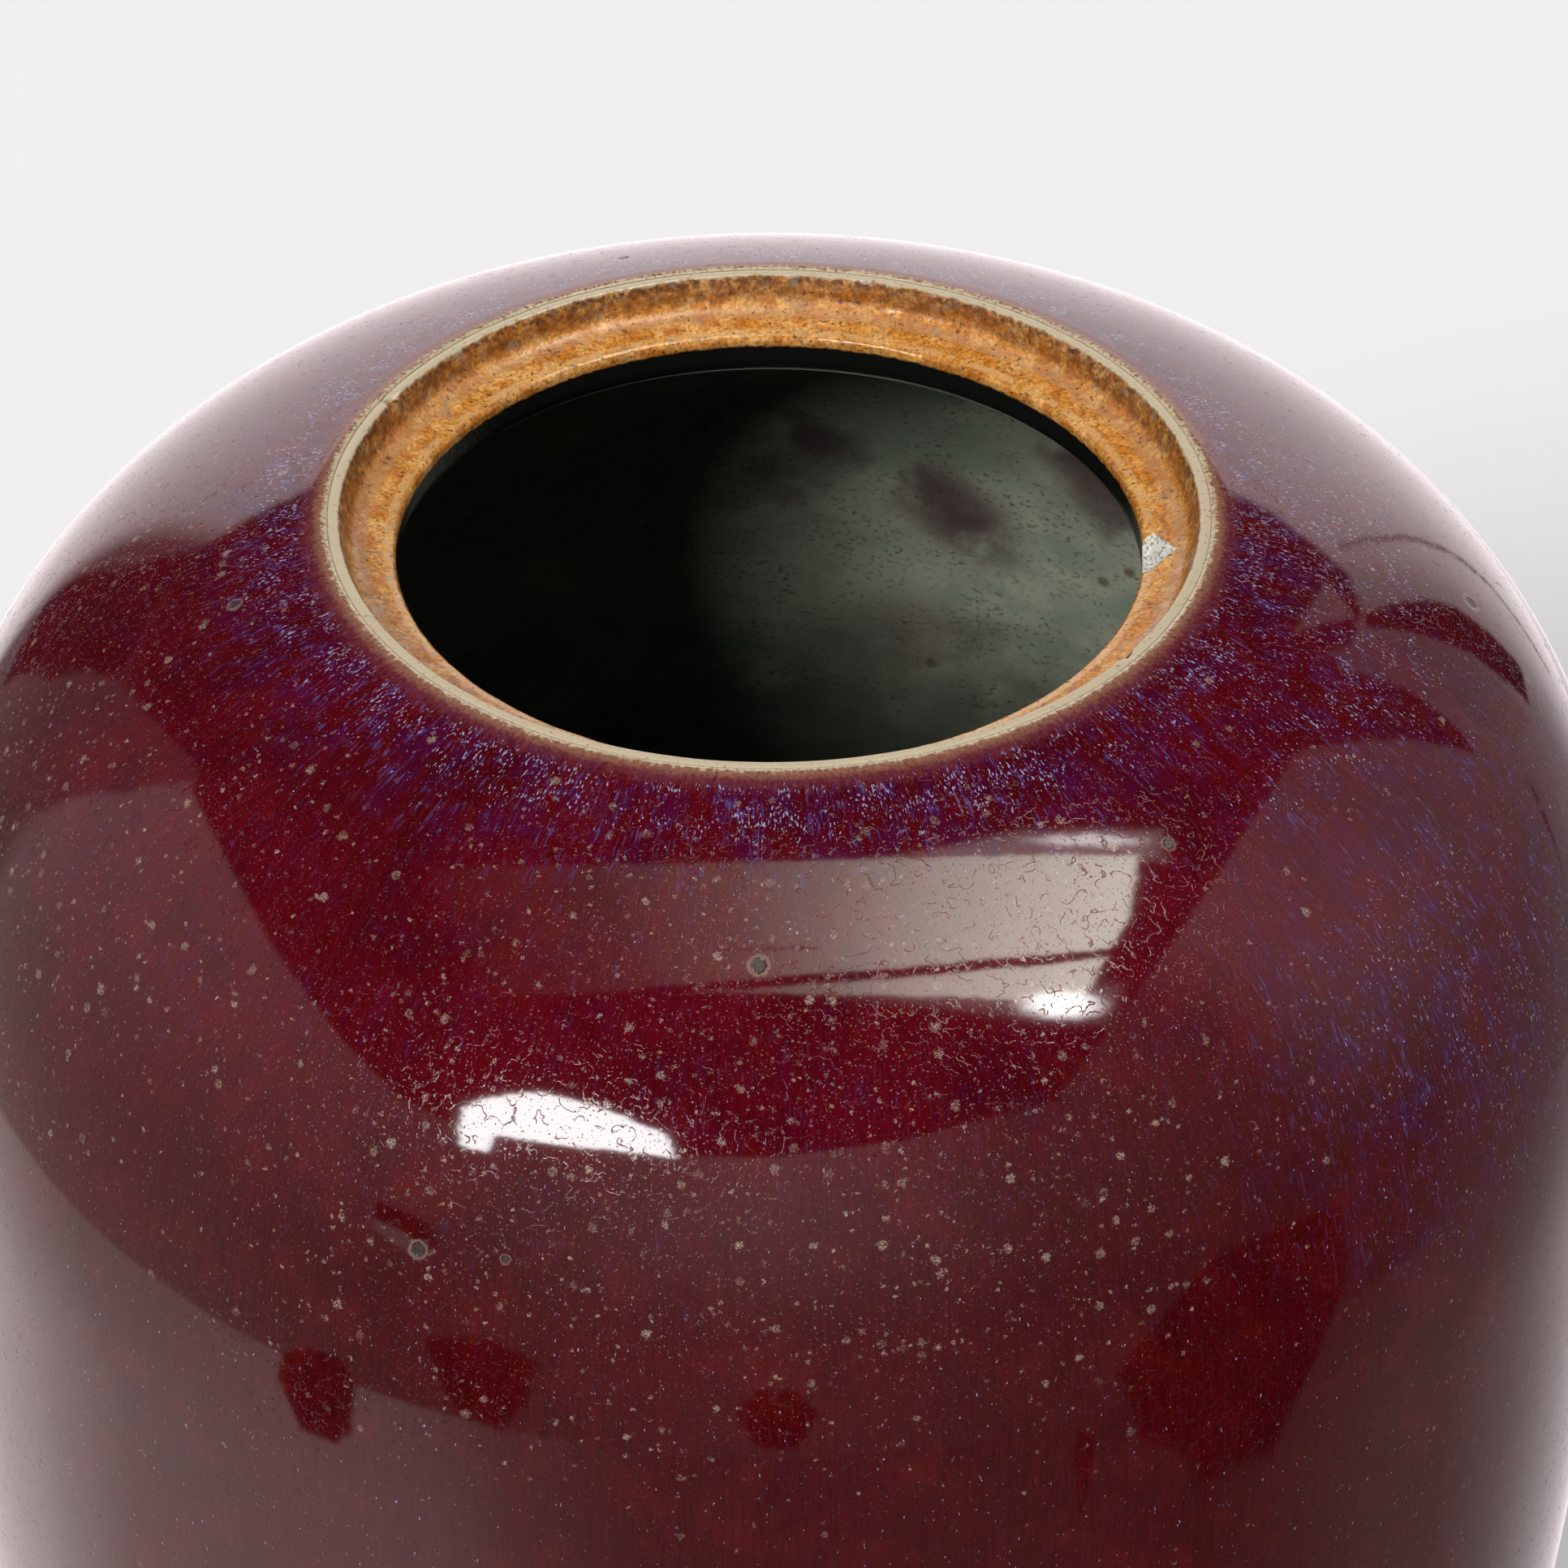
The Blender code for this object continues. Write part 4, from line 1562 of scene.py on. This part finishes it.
@dataclass
class Cover:
    """The loose cover: its fired clay and its coat of glaze, as two pieces on one body.

    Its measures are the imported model's, in metres.

    Attributes:
        hidden_share: The share of the gap under the coat that its hidden side keeps free.
        axis_x: Where the cover's axis stands.
        rise_wave: How far the thrown dome's soft waves go.
        wave_length: How long those waves are.
        pits: Middle of each dark spot in the coat, in millimetres from the axis, and its radius.
    """

    radius: float = 0.0512
    rim_height: float = 0.0045
    rim_round: float = 0.0012
    rim_bevel: float = 0.0006
    dome_rise: float = 0.0085
    rest_width: float = 0.0060
    recess_depth: float = 0.0025
    knob_radius: float = 0.0115
    knob_overhang: float = 0.0040
    knob_head_height: float = 0.0100
    knob_neck_height: float = 0.0030
    glaze: float = 0.0006
    coat_gap: float = 0.0003
    hidden_share: float = 0.8
    axis_x: float = 0.1765
    steps: int = 256
    knob_rings: int = 22
    dome_rings: int = 36
    neck_fillet: float = 0.0012
    rise_wave: float = 0.00012
    wave_length: float = 0.012
    pits: tuple[tuple[Place, float], ...] = (((-28.0, -18.0, 9.4), 0.7),)

    def outline(self) -> list[Vector]:
        """Draw the cover over its glaze, from the knob's top to the rim's corner.

        Returns:
            The profile, as radius and height of each point.
        """
        foot = self.rim_height + self.dome_rise
        neck = self.knob_radius - self.knob_overhang
        half = self.knob_head_height / 2
        center = foot + self.knob_neck_height + half
        lowest = -math.acos(neck / self.knob_radius)
        knob = [Vector((0.0, center + half))]
        for index in range(1, self.knob_rings):
            angle = math.pi / 2 + (lowest - math.pi / 2) * index / (self.knob_rings - 1)
            knob.append(Vector((self.knob_radius * math.cos(angle), center + half * math.sin(angle))))
        span = self.radius - self.rim_round
        inner = neck / span
        dome = []
        for index in range(self.dome_rings):
            share = inner + (1.0 - inner) * index / (self.dome_rings - 1)
            drop = (share ** 2 - inner ** 2) / (1.0 - inner ** 2)
            dome.append(Vector((span * share, foot - self.dome_rise * drop)))
        fillet_center = Vector((neck + self.neck_fillet, foot + self.neck_fillet * 0.75))
        fillet = arc(fillet_center, self.neck_fillet, math.pi, 1.5 * math.pi - 0.25, 6)
        kept = [point for point in dome if point.x > fillet[-1].x + 0.0002]
        round_center = Vector((span, self.rim_height - self.rim_round))
        rim = arc(round_center, self.rim_round, math.pi / 2 - 0.5, 0.0, 5)
        return knob + fillet + kept[:-1] + rim

    def clay_profile(self) -> list[Vector]:
        """Draw the fired cover: knob, dome, bare rim and the shallow recess under it.

        Returns:
            The profile, as radius and height of each point.
        """
        body = offset_inward(self.outline(), self.glaze + self.coat_gap)
        rim = body[-1].x
        recess = rim - self.rest_width
        bevel = self.rim_bevel
        side = [Vector((rim, bevel + (body[-1].y - bevel) * share)) for share in (0.6, 0.3)]
        turn = arc(Vector((rim - bevel, bevel)), bevel, 0.0, -math.pi / 2, 5)
        rise = self.recess_depth
        slope = [Vector((recess - rise * 0.25, rise * 0.4)), Vector((recess - rise, rise))]
        under = [Vector((recess, 0.0))] + slope
        middle = [Vector(((recess - rise) * share, rise)) for share in (0.75, 0.5, 0.25, 0.0)]
        return body + side + turn + under + middle

    def flambe_profile(self) -> list[Vector]:
        """Return the coat over the knob and dome, open below the rim's corner."""
        outline = self.outline()
        return outline + offset_inward(outline, self.glaze + self.coat_gap * self.hidden_share)[::-1]

    def hand_waves(self, place: Vector) -> Vector:
        """Make the thrown dome softly uneven.

        Args:
            place: A place on the piece.

        Returns:
            How far it moves, in metres.
        """
        height = smooth_step(place.z, 0.003, 0.006)
        wave = 0.5 + 0.5 * noise.noise(place / self.wave_length)
        return Vector((0.0, 0.0, -self.rise_wave * height * wave))

    def build(self) -> list[bpy.types.Object]:
        """Build and dress the cover's two pieces where the cover lies.

        Returns:
            The pieces.
        """
        there = Matrix.Translation((self.axis_x, 0.0, 0.0))
        body = turned(self.clay_profile(), False, self.steps)
        coat = turned(self.flambe_profile(), False, self.steps)
        for made in (body, coat):
            pressed(made, self.hand_waves)
            bmesh.ops.transform(made, matrix=there, verts=list(made.verts))
        clay = finished_piece("cover_clay", body, BareClay("bare_stoneware").material())
        edge = (self.rim_height - self.rim_round) / MILLIMETRE
        flow = GlazeFlow(self.axis_x, self.radius / MILLIMETRE, edge, -1.0)
        # Painted shade: the corner under the knob is kept matt, since the cover is left out of mirror
        # images.
        under_knob = self.rim_height + self.dome_rise + self.knob_neck_height + self.knob_head_height / 2
        corner = (self.knob_radius / MILLIMETRE, under_knob / MILLIMETRE)
        glaze = FlambeGlaze("flambe_on_cover", flow, self.pits, corner)
        flambe = finished_piece("cover_flambe", coat, glaze.material())
        for piece in (clay, flambe):
            piece.visible_glossy = False
        return [
            dressed(clay, "cover", "cover_body"),
            dressed(flambe, "cover", "cover_glaze"),
        ]


@dataclass(frozen=True)
class Board:
    """One board, gap or lamp round the table, as the glaze mirrors it.

    Attributes:
        corners: Corners of a convex outline. Each is a direction, given as degrees away from
            straight up, split into a part towards +X and a part towards +Y.
        glow: How bright it is; white paper in full light is 1.
        soft: Width of its soft edge, in degrees.
    """

    corners: tuple[tuple[float, float], ...]
    glow: float
    soft: float = 0.5

    @classmethod
    def strip(
        cls, start: tuple[float, float], end: tuple[float, float], width: float, glow: float
    ) -> "Board":
        """Lay a narrow board from one direction to another.

        Args:
            start: Where its middle line starts.
            end: Where it ends.
            width: Its width, in degrees.
            glow: How bright it is.

        Returns:
            The board.
        """
        first, last = Vector(start), Vector(end)
        along = (last - first).normalized() * STRIP_OVERRUN
        aside = Vector((-along.y, along.x)).normalized() * width / 2
        around = (first - along - aside, last + along - aside, last + along + aside, first - along + aside)
        return cls(tuple((corner.x, corner.y) for corner in around), glow, STRIP_SOFT)

    def mask(self, graph: NodeGraph, plane: Socket) -> Socket:
        """Write the nodes that mark the board.

        Args:
            graph: The graph of the world.
            plane: The direction, split as the corners are.

        Returns:
            A mask, 1 on the board and 0 away from it.
        """
        area = 0.0
        pairs = list(zip(self.corners, self.corners[1:] + self.corners[:1]))
        for (ax, ay), (bx, by) in pairs:
            area += ax * by - bx * ay
        side = 1.0 if area > 0 else -1.0
        inside: Optional[Socket] = None
        for (ax, ay), (bx, by) in pairs:
            inward = Vector((ay - by, bx - ax)).normalized() * side
            along = graph.measure("DOT_PRODUCT", plane, (inward.x, inward.y, 0.0))
            depth = graph.minus(along, inward.x * ax + inward.y * ay)
            inside = depth if inside is None else graph.math("MINIMUM", inside, depth)
        return graph.step(inside, -self.soft, self.soft)


class Lamp(Enum):
    """The two lamps: turn from the camera's side towards +X, rise, width and strength."""

    FRONT_LEFT = (-31.5, 37.5, 19.0, 2.15)
    OVERHEAD = (76.0, 68.0, 35.0, 1.3)


@dataclass(frozen=True)
class HotSpot:
    """A lamp's bright middle behind the softbox cloth, as the glaze mirrors it.

    Attributes:
        center: Its direction, split as a board's corners are.
        half: Half its width and half its height, in degrees.
        glow: How much brighter it makes the cloth.
        fade: Where its light starts and where it is full, next to half its width and height.
    """

    center: tuple[float, float]
    half: tuple[float, float]
    glow: float
    fade: tuple[float, float] = (1.5, 0.4)

    def extra(self, graph: NodeGraph, plane: Socket) -> Socket:
        """Write the nodes for the spot's light at a direction.

        Args:
            graph: The graph of the world.
            plane: The direction, split as the middle is.

        Returns:
            The light as a number.
        """
        away = graph.vector("SUBTRACT", plane, (self.center[0], self.center[1], 0.0))
        away = graph.vector("DIVIDE", away, (self.half[0], self.half[1], 1.0))
        return graph.times(graph.step(graph.measure("LENGTH", away), *self.fade), self.glow)


@dataclass
class Studio:
    """The pale floor, the plain soft light and the camera at the photograph's angle.

    Attributes:
        walls: What stands round the table, by turn in degrees: its glow high up and low down.
        table: The table's glow by turn.
        boards: Dark boards and gaps, laid over the walls in this order.
        halos: Soft light round the softbox.
        panels: The softbox cloth, whose glow grows to one side as panel_glow says.
        seams: Dark seams across the cloth.
        hot_spots: The lamps' bright middles behind the cloth.
        small_lamps: The outline of the small bare lamp.
        floor_fade: Distances from the jar between which the floor turns to paper, in metres.
        low_rise: Heights on a unit ball between which the plain light near the floor grows.
        top_rise: The same for the plain light from above.
        wall_tilt: Degrees from straight up between which the walls' high glow turns to the low one.
        floor_edge: Degrees from straight up where the walls end and the table starts.
        floor_edge_soft: Half the width of that edge, in degrees.
        wobble: How far the glaze's unevenness bends what it mirrors, in degrees.
        wobble_scale: How fine that unevenness is.
    """

    camera_place: Place = (0.0, -0.7023, 0.7239)
    camera_tilt: float = math.pi / 2 - 0.6389
    camera_roll: float = -0.0026
    lens: float = 158.18
    sensor: float = 36.0
    camera_clip: tuple[float, float] = (0.01, 50.0)
    floor_size: float = 5.0
    floor_drop: float = 0.0002
    floor_tone: Color = (0.885, 0.878, 0.862, 1.0)
    paper: Color = (0.893, 0.885, 0.87, 1.0)
    mirrored_tone: Color = (1.11, 1.0, 1.01, 1.0)
    cloth_tone: Color = (1.0, 1.0, 0.86, 1.0)
    floor_fade: tuple[float, float] = (0.9, 2.2)
    low_light: float = 0.85
    low_rise: tuple[float, float] = (0.32, 0.14)
    top_light: float = 0.36
    top_rise: tuple[float, float] = (0.72, 0.86)
    wall_tilt: tuple[float, float] = (64.0, 100.0)
    floor_edge: float = 117.0
    floor_edge_soft: float = 0.3
    wobble: float = 1.5
    wobble_scale: float = 60.0
    walls: tuple[tuple[float, float, float], ...] = (
        (-180, 1.4, 1.45), (-158, 1.5, 1.55), (-152, 1.3, 1.35), (-149, 0.18, 0.2),
        (-124, 0.18, 0.24), (-120, 0.68, 0.6), (-97, 0.62, 0.45), (-75, 0.5, 0.38),
        (-60, 0.45, 0.28), (-45, 0.38, 0.17), (-30, 0.44, 0.22), (0, 0.7, 0.24), (20, 0.5, 0.2),
        (34, 0.28, 0.15), (69, 0.2, 0.1), (84, 0.58, 0.12), (95, 0.6, 0.2), (118, 0.44, 0.26),
        (128, 0.4, 0.34), (140, 0.5, 0.5), (145, 0.8, 0.85), (148, 1.15, 1.2), (156, 1.5, 1.6),
        (180, 1.4, 1.45),
    )
    table: tuple[tuple[float, float], ...] = (
        (-180, 1.3), (-122, 1.25), (-97, 0.8), (-60, 0.84), (-45, 0.8), (-32, 0.42), (-15, 0.2),
        (0, 0.16), (30, 0.15), (60, 0.08), (90, 0.22), (104, 0.22), (120, 0.36), (150, 0.9),
        (180, 1.3),
    )
    boards: tuple[Board, ...] = (
        Board(
            (
                (-49, 26), (41, 27), (42, 34), (41.6, 53), (38.4, 57.6), (28.6, 60.6), (-24, 61.4),
                (-37, 61), (-51.5, 49),
            ),
            0.02,
            0.7,
        ),
        Board(((-51.7, 49.2), (-37.2, 61.2), (-44.8, 67.9), (-59.9, 64.7)), 0.02, 0.7),
        Board(((-59.9, 64.7), (-44.8, 67.9), (-51.1, 85.5), (-60.4, 83.9)), 0.02, 0.7),
        Board(
            ((-61.8, 79), (-54.7, 54.5), (-46, 44), (-48.5, 27), (-59.4, 31.9), (-72, 44), (-78, 60)),
            0.2,
            0.6,
        ),
        Board(
            (
                (-50, 27), (-52.5, -3), (-51, -23), (-48, -34), (-41, -44), (-13, -53), (1, -53.4),
                (18, -49), (36, -38.5), (39, -18), (40, -4), (41, 28),
            ),
            0.02,
            0.3,
        ),
        Board(
            ((34.6, 45.4), (44, 43), (56, 48.5), (69, 58), (65, 75), (60.8, 70), (51.6, 60), (41, 51.8)),
            0.34,
            0.6,
        ),
        Board(
            ((41, 28.5), (46.2, 32.4), (55.9, 39), (65, 47.8), (60, 49.5), (52, 46.5), (40, 44)),
            0.03,
            0.3,
        ),
        Board(((34.4, 45), (41, 51.5), (36.3, 54.6)), 0.5, 0.2),
        Board(((55.8, 39.4), (64.5, 47.8), (60.8, 47.6), (56.4, 44.8), (55, 42.2)), 0.02, 0.3),
        Board(
            ((41.8, 52.6), (43, 51.1), (51.6, 58.6), (60.8, 68.6), (64, 74.3), (59.4, 79.5), (51.2, 69.6)),
            0.02,
            0.3,
        ),
        Board.strip((37.0, 61.3), (41.4, 69.6), 0.8, 0.55),
        Board.strip((41.4, 69.6), (45.2, 79.5), 0.8, 0.45),
        Board.strip((45.2, 79.5), (48.3, 90.4), 0.9, 0.35),
        Board.strip((48.3, 90.4), (52.8, 97.5), 1.0, 0.25),
        Board(((60.9, 51.6), (76.7, 59.6), (86.7, 61), (86.7, 64), (74, 60.6)), 0.05, 0.4),
        Board(
            (
                (-112.5, -58), (-108.8, -52.6), (-103.8, -54.4), (-97.6, -59.4), (-91.2, -67.7),
                (-91.8, -72), (-101, -72.4), (-107.2, -67.6),
            ),
            0.02,
            0.3,
        ),
        Board(
            ((-70, -78), (-56, -84), (-47.5, -92), (-54.4, -97.6), (-63.7, -98.9), (-72.8, -90.6)),
            0.01,
            1.2,
        ),
        Board(
            ((-8, -109.3), (-3.4, -104.6), (5.3, -104.1), (10.7, -109.1), (7, -115.4), (-3, -115.5)),
            0.01,
            0.5,
        ),
        Board(
            (
                (79, -56), (96.3, -29.5), (109.7, -30), (116, -36), (122.9, -45), (112.7, -67),
                (91, -83.6), (74.5, -82.5),
            ),
            0.01,
            1.0,
        ),
        Board(((73.5, -93), (78.8, -91.6), (86, -96), (86, -98.4), (76, -97)), 0.02, 0.6),
        Board(((-66, -57), (-64.2, -54.4), (-58.6, -62), (-58.2, -65.6), (-61.6, -64.8)), 0.7, 0.2),
        Board(((-64.8, -54.6), (-61.6, -52.4), (-55.2, -60), (-56, -65.2), (-58.2, -63)), 0.01, 0.2),
    )
    halos: tuple[Board, ...] = (
        Board(((-4, -14), (36, -15), (36.6, -21), (28, -21.5), (12, -18.5)), 1.7, 2.6),
        Board(((10, 9), (33, 9), (31, 13.5), (18, 13)), 1.8, 1.2),
    )
    panels: tuple[Board, ...] = (
        Board(
            ((-30, -17), (36, -18.6), (37.2, -17.4), (34.4, -6.6), (33, 5), (33, 9.9), (9, 8.7), (-28, 7.5)),
            1.0,
            0.25,
        ),
    )
    panel_glow: tuple[tuple[float, float], ...] = (
        (-30, 0.05), (-14, 0.36), (-3, 1.1), (5, 2.8), (13.6, 6.2), (22, 9.0), (29.4, 11.0),
        (38, 12.0),
    )
    seams: tuple[Board, ...] = (
        Board.strip((-34.0, -19.6), (-11.8, -17.0), 1.3, 0.04),
        Board.strip((-11.8, -17.0), (-4.6, -16.1), 1.8, 0.02),
        Board.strip((-4.6, -16.1), (11.6, -13.5), 2.1, 0.02),
        Board.strip((11.6, -13.5), (27.4, -10.0), 2.0, 0.02),
        Board.strip((27.4, -10.0), (38.0, -6.6), 1.7, 0.02),
        Board.strip((-4.0, -8.7), (4.0, -8.2), 0.5, 0.3),
    )
    hot_spots: tuple[HotSpot, ...] = (
        HotSpot((24.8, 11.7), (4.8, 0.9), 10.0),
        HotSpot((30.9, -18.9), (4.4, 2.4), 28.0),
    )
    small_lamps: tuple[Board, ...] = (
        Board(
            (
                (-41.8, -43.4), (-39.6, -38.9), (-35.4, -37.4), (-28.1, -37.3), (-21, -41.4),
                (-13.7, -47.6), (-12.8, -53.2), (-27.1, -49.3),
            ),
            24.0,
            0.2,
        ),
        Board(((-42.6, -46.7), (-41.6, -42.4), (-36.6, -44.6), (-39.2, -48.7)), 24.0, 0.2),
    )

    def build_floor(self) -> bpy.types.Object:
        """Lay the floor, which turns to plain white paper far from the jar.

        Returns:
            The floor.
        """
        made = bmesh.new()
        bmesh.ops.create_grid(made, x_segments=2, y_segments=2, size=self.floor_size)
        down = Matrix.Translation((0.0, 0.0, -self.floor_drop))
        bmesh.ops.transform(made, matrix=down, verts=list(made.verts))
        material, graph = new_material("pale_floor")
        place = graph.node("ShaderNodeTexCoord").outputs["Object"]
        far = graph.step(graph.measure("LENGTH", place), *self.floor_fade)
        seen = graph.node("ShaderNodeLightPath").outputs["Is Camera Ray"]
        matt = graph.node("ShaderNodeBsdfDiffuse", {"Color": self.floor_tone})
        white = graph.node("ShaderNodeEmission", {"Color": self.paper, "Strength": 1.0})
        share = graph.times(far, seen)
        both = graph.node("ShaderNodeMixShader", {0: share, 1: matt.outputs[0], 2: white.outputs[0]})
        graph.node("ShaderNodeOutputMaterial", {0: both.outputs[0]})
        floor = finished_piece("floor", made, material)
        floor.visible_glossy = False
        return floor

    def build_lamp(self, lamp: Lamp) -> bpy.types.Object:
        """Set up a lamp as a soft sun that the glaze doesn't mirror a second time.

        Args:
            lamp: Which lamp.

        Returns:
            The lamp.
        """
        turn, rise, width, strength = lamp.value
        light = bpy.data.lights.new(lamp.name.lower(), "SUN")
        light.energy = strength
        light.angle = math.radians(width)
        stand = bpy.data.objects.new(lamp.name.lower(), light)
        across = math.cos(math.radians(rise))
        turned_by = math.radians(turn)
        up = math.sin(math.radians(rise))
        towards = Vector((math.sin(turned_by) * across, -math.cos(turned_by) * across, up))
        stand.rotation_mode = "QUATERNION"
        stand.rotation_quaternion = towards.to_track_quat("Z", "Y")
        stand.visible_glossy = False
        bpy.context.scene.collection.objects.link(stand)
        return stand

    @staticmethod
    def glow_round(graph: NodeGraph, around: Socket, glows: Sequence[tuple[float, float]]) -> Socket:
        """Look a glow up by the turn of a direction, from 0 to 1; the glows go by degrees."""
        return graph.ramp(around, [(turn / 360.0 + 0.5, grey(glow)) for turn, glow in glows])

    @staticmethod
    def laid(graph: NodeGraph, seen: Value, plane: Socket, boards: Sequence[Board]) -> Value:
        """Lay boards over what is seen, each with its own glow.

        Args:
            graph: The graph of the world.
            seen: The brightness so far, as a colour.
            plane: The direction, split as the corners are.
            boards: The boards, the first one lowest.

        Returns:
            The new brightness.
        """
        for board in boards:
            seen = graph.mix(board.mask(graph, plane), seen, grey(board.glow))
        return seen

    def surroundings(self, graph: NodeGraph, around: Socket, tilt: Socket) -> Socket:
        """Write the walls and the table by direction.

        Args:
            graph: The graph of the world.
            around: Turn of the direction, from 0 to 1.
            tilt: Degrees from straight up.

        Returns:
            The brightness as a colour.
        """
        high = self.glow_round(graph, around, [(turn, glow) for turn, glow, _ in self.walls])
        low = self.glow_round(graph, around, [(turn, glow) for turn, _, glow in self.walls])
        table = self.glow_round(graph, around, self.table)
        walls = graph.mix(graph.step(tilt, *self.wall_tilt), high, low)
        edge, soft = self.floor_edge, self.floor_edge_soft
        return graph.mix(graph.step(tilt, edge - soft, edge + soft), walls, table)

    def softbox(self, graph: NodeGraph, east: Socket) -> Socket:
        """Write the softbox cloth's own brightness, without its outline.

        Args:
            graph: The graph of the world.
            east: The direction's part towards +X, in degrees.

        Returns:
            The brightness as a colour.
        """
        first, last = self.panel_glow[0][0], self.panel_glow[-1][0]
        brightest = self.panel_glow[-1][1]
        across = graph.math("DIVIDE", graph.minus(east, first), last - first)
        stops = [((at - first) / (last - first), grey(glow / brightest)) for at, glow in self.panel_glow]
        return graph.scaled(graph.ramp(across, stops), brightest)

    def mirrored(self, graph: NodeGraph) -> Socket:
        """Write what the glaze mirrors: boards, gaps, table and lamps, by direction only.

        Args:
            graph: The graph of the world.

        Returns:
            The brightness as a colour.
        """
        way = graph.node("ShaderNodeTexCoord").outputs["Generated"]
        x, y, z = graph.separate(way)
        flat = graph.highest(graph.measure("LENGTH", graph.combine(x, y, 0.0)), 0.0001)
        tilt = graph.times(graph.math("ARCCOSINE", z), math.degrees(1.0))
        east = graph.times(graph.math("DIVIDE", x, flat), tilt)
        north = graph.times(graph.math("DIVIDE", y, flat), tilt)
        noisy = graph.node("ShaderNodeTexNoise", {"Vector": way, "Scale": self.wobble_scale, "Detail": 5.0})
        about = graph.vector("SUBTRACT", noisy.outputs["Color"], (0.5, 0.5, 0.5))
        shift = graph.vector("MULTIPLY", about, (self.wobble, self.wobble, 0.0))
        plane = graph.vector("ADD", graph.combine(east, north, 0.0), shift)
        turn = graph.times(graph.math("ARCTAN2", x, graph.times(y, -1.0)), math.degrees(1.0) / 360.0)
        seen = self.surroundings(graph, graph.plus(turn, 0.5), tilt)
        seen = self.laid(graph, seen, plane, self.boards + self.halos)
        seen = graph.mix(1.0, seen, self.mirrored_tone, "MULTIPLY")
        cloth = graph.mix(1.0, self.softbox(graph, east), self.cloth_tone, "MULTIPLY")
        for panel in self.panels:
            seen = graph.mix(panel.mask(graph, plane), seen, cloth)
        for spot in self.hot_spots:
            extra = spot.extra(graph, plane)
            seen = graph.mix(1.0, seen, graph.combine(extra, extra, extra), "ADD")
        return self.laid(graph, seen, plane, self.seams + self.small_lamps)

    def build_world(self) -> bpy.types.World:
        """Surround the table: white to the camera, plain light on surfaces, the studio in the gloss.

        Returns:
            The world.
        """
        world = bpy.data.worlds.new("photo_tent")
        world.use_nodes = True
        graph = NodeGraph(world.node_tree)
        way = graph.node("ShaderNodeTexCoord").outputs["Generated"]
        rise = graph.separate(way)[2]
        low = graph.step(rise, *self.low_rise, 0.0, self.low_light)
        top = graph.step(rise, *self.top_rise, 0.02, self.top_light)
        soft = graph.plus(low, top)
        path = graph.node("ShaderNodeLightPath")
        plain = graph.combine(soft, soft, soft)
        seen = graph.mix(path.outputs["Is Camera Ray"], plain, self.paper)
        seen = graph.mix(path.outputs["Is Glossy Ray"], seen, self.mirrored(graph))
        back = graph.node("ShaderNodeBackground", {"Color": seen, "Strength": 1.0})
        graph.node("ShaderNodeOutputWorld", {0: back.outputs[0]})
        bpy.context.scene.world = world
        return world

    def build_camera(self) -> bpy.types.Object:
        """Set the camera where the photograph was taken from.

        Returns:
            The camera.
        """
        data = bpy.data.cameras.new("camera")
        data.lens = self.lens
        data.sensor_width = self.sensor
        data.clip_start, data.clip_end = self.camera_clip
        camera = bpy.data.objects.new("camera", data)
        camera.location = self.camera_place
        camera.rotation_euler = (self.camera_tilt, 0.0, self.camera_roll)
        bpy.context.scene.collection.objects.link(camera)
        bpy.context.scene.camera = camera
        return camera

    def build(self) -> None:
        """Build the floor, the world, the lamps and the camera."""
        self.build_floor()
        self.build_world()
        for lamp in Lamp:
            self.build_lamp(lamp)
        self.build_camera()
        bpy.context.scene.view_settings.view_transform = "Standard"


def main() -> None:
    """Build the studio, the jar and the cover, and report each piece."""
    logging.basicConfig(level=logging.INFO, format="%(message)s")
    Studio().build()
    for part in (Jar(), Cover()):
        for piece in part.build():
            LOG.info("%s: %d faces", piece.name, len(piece.data.polygons))


if __name__ == "__main__":
    main()
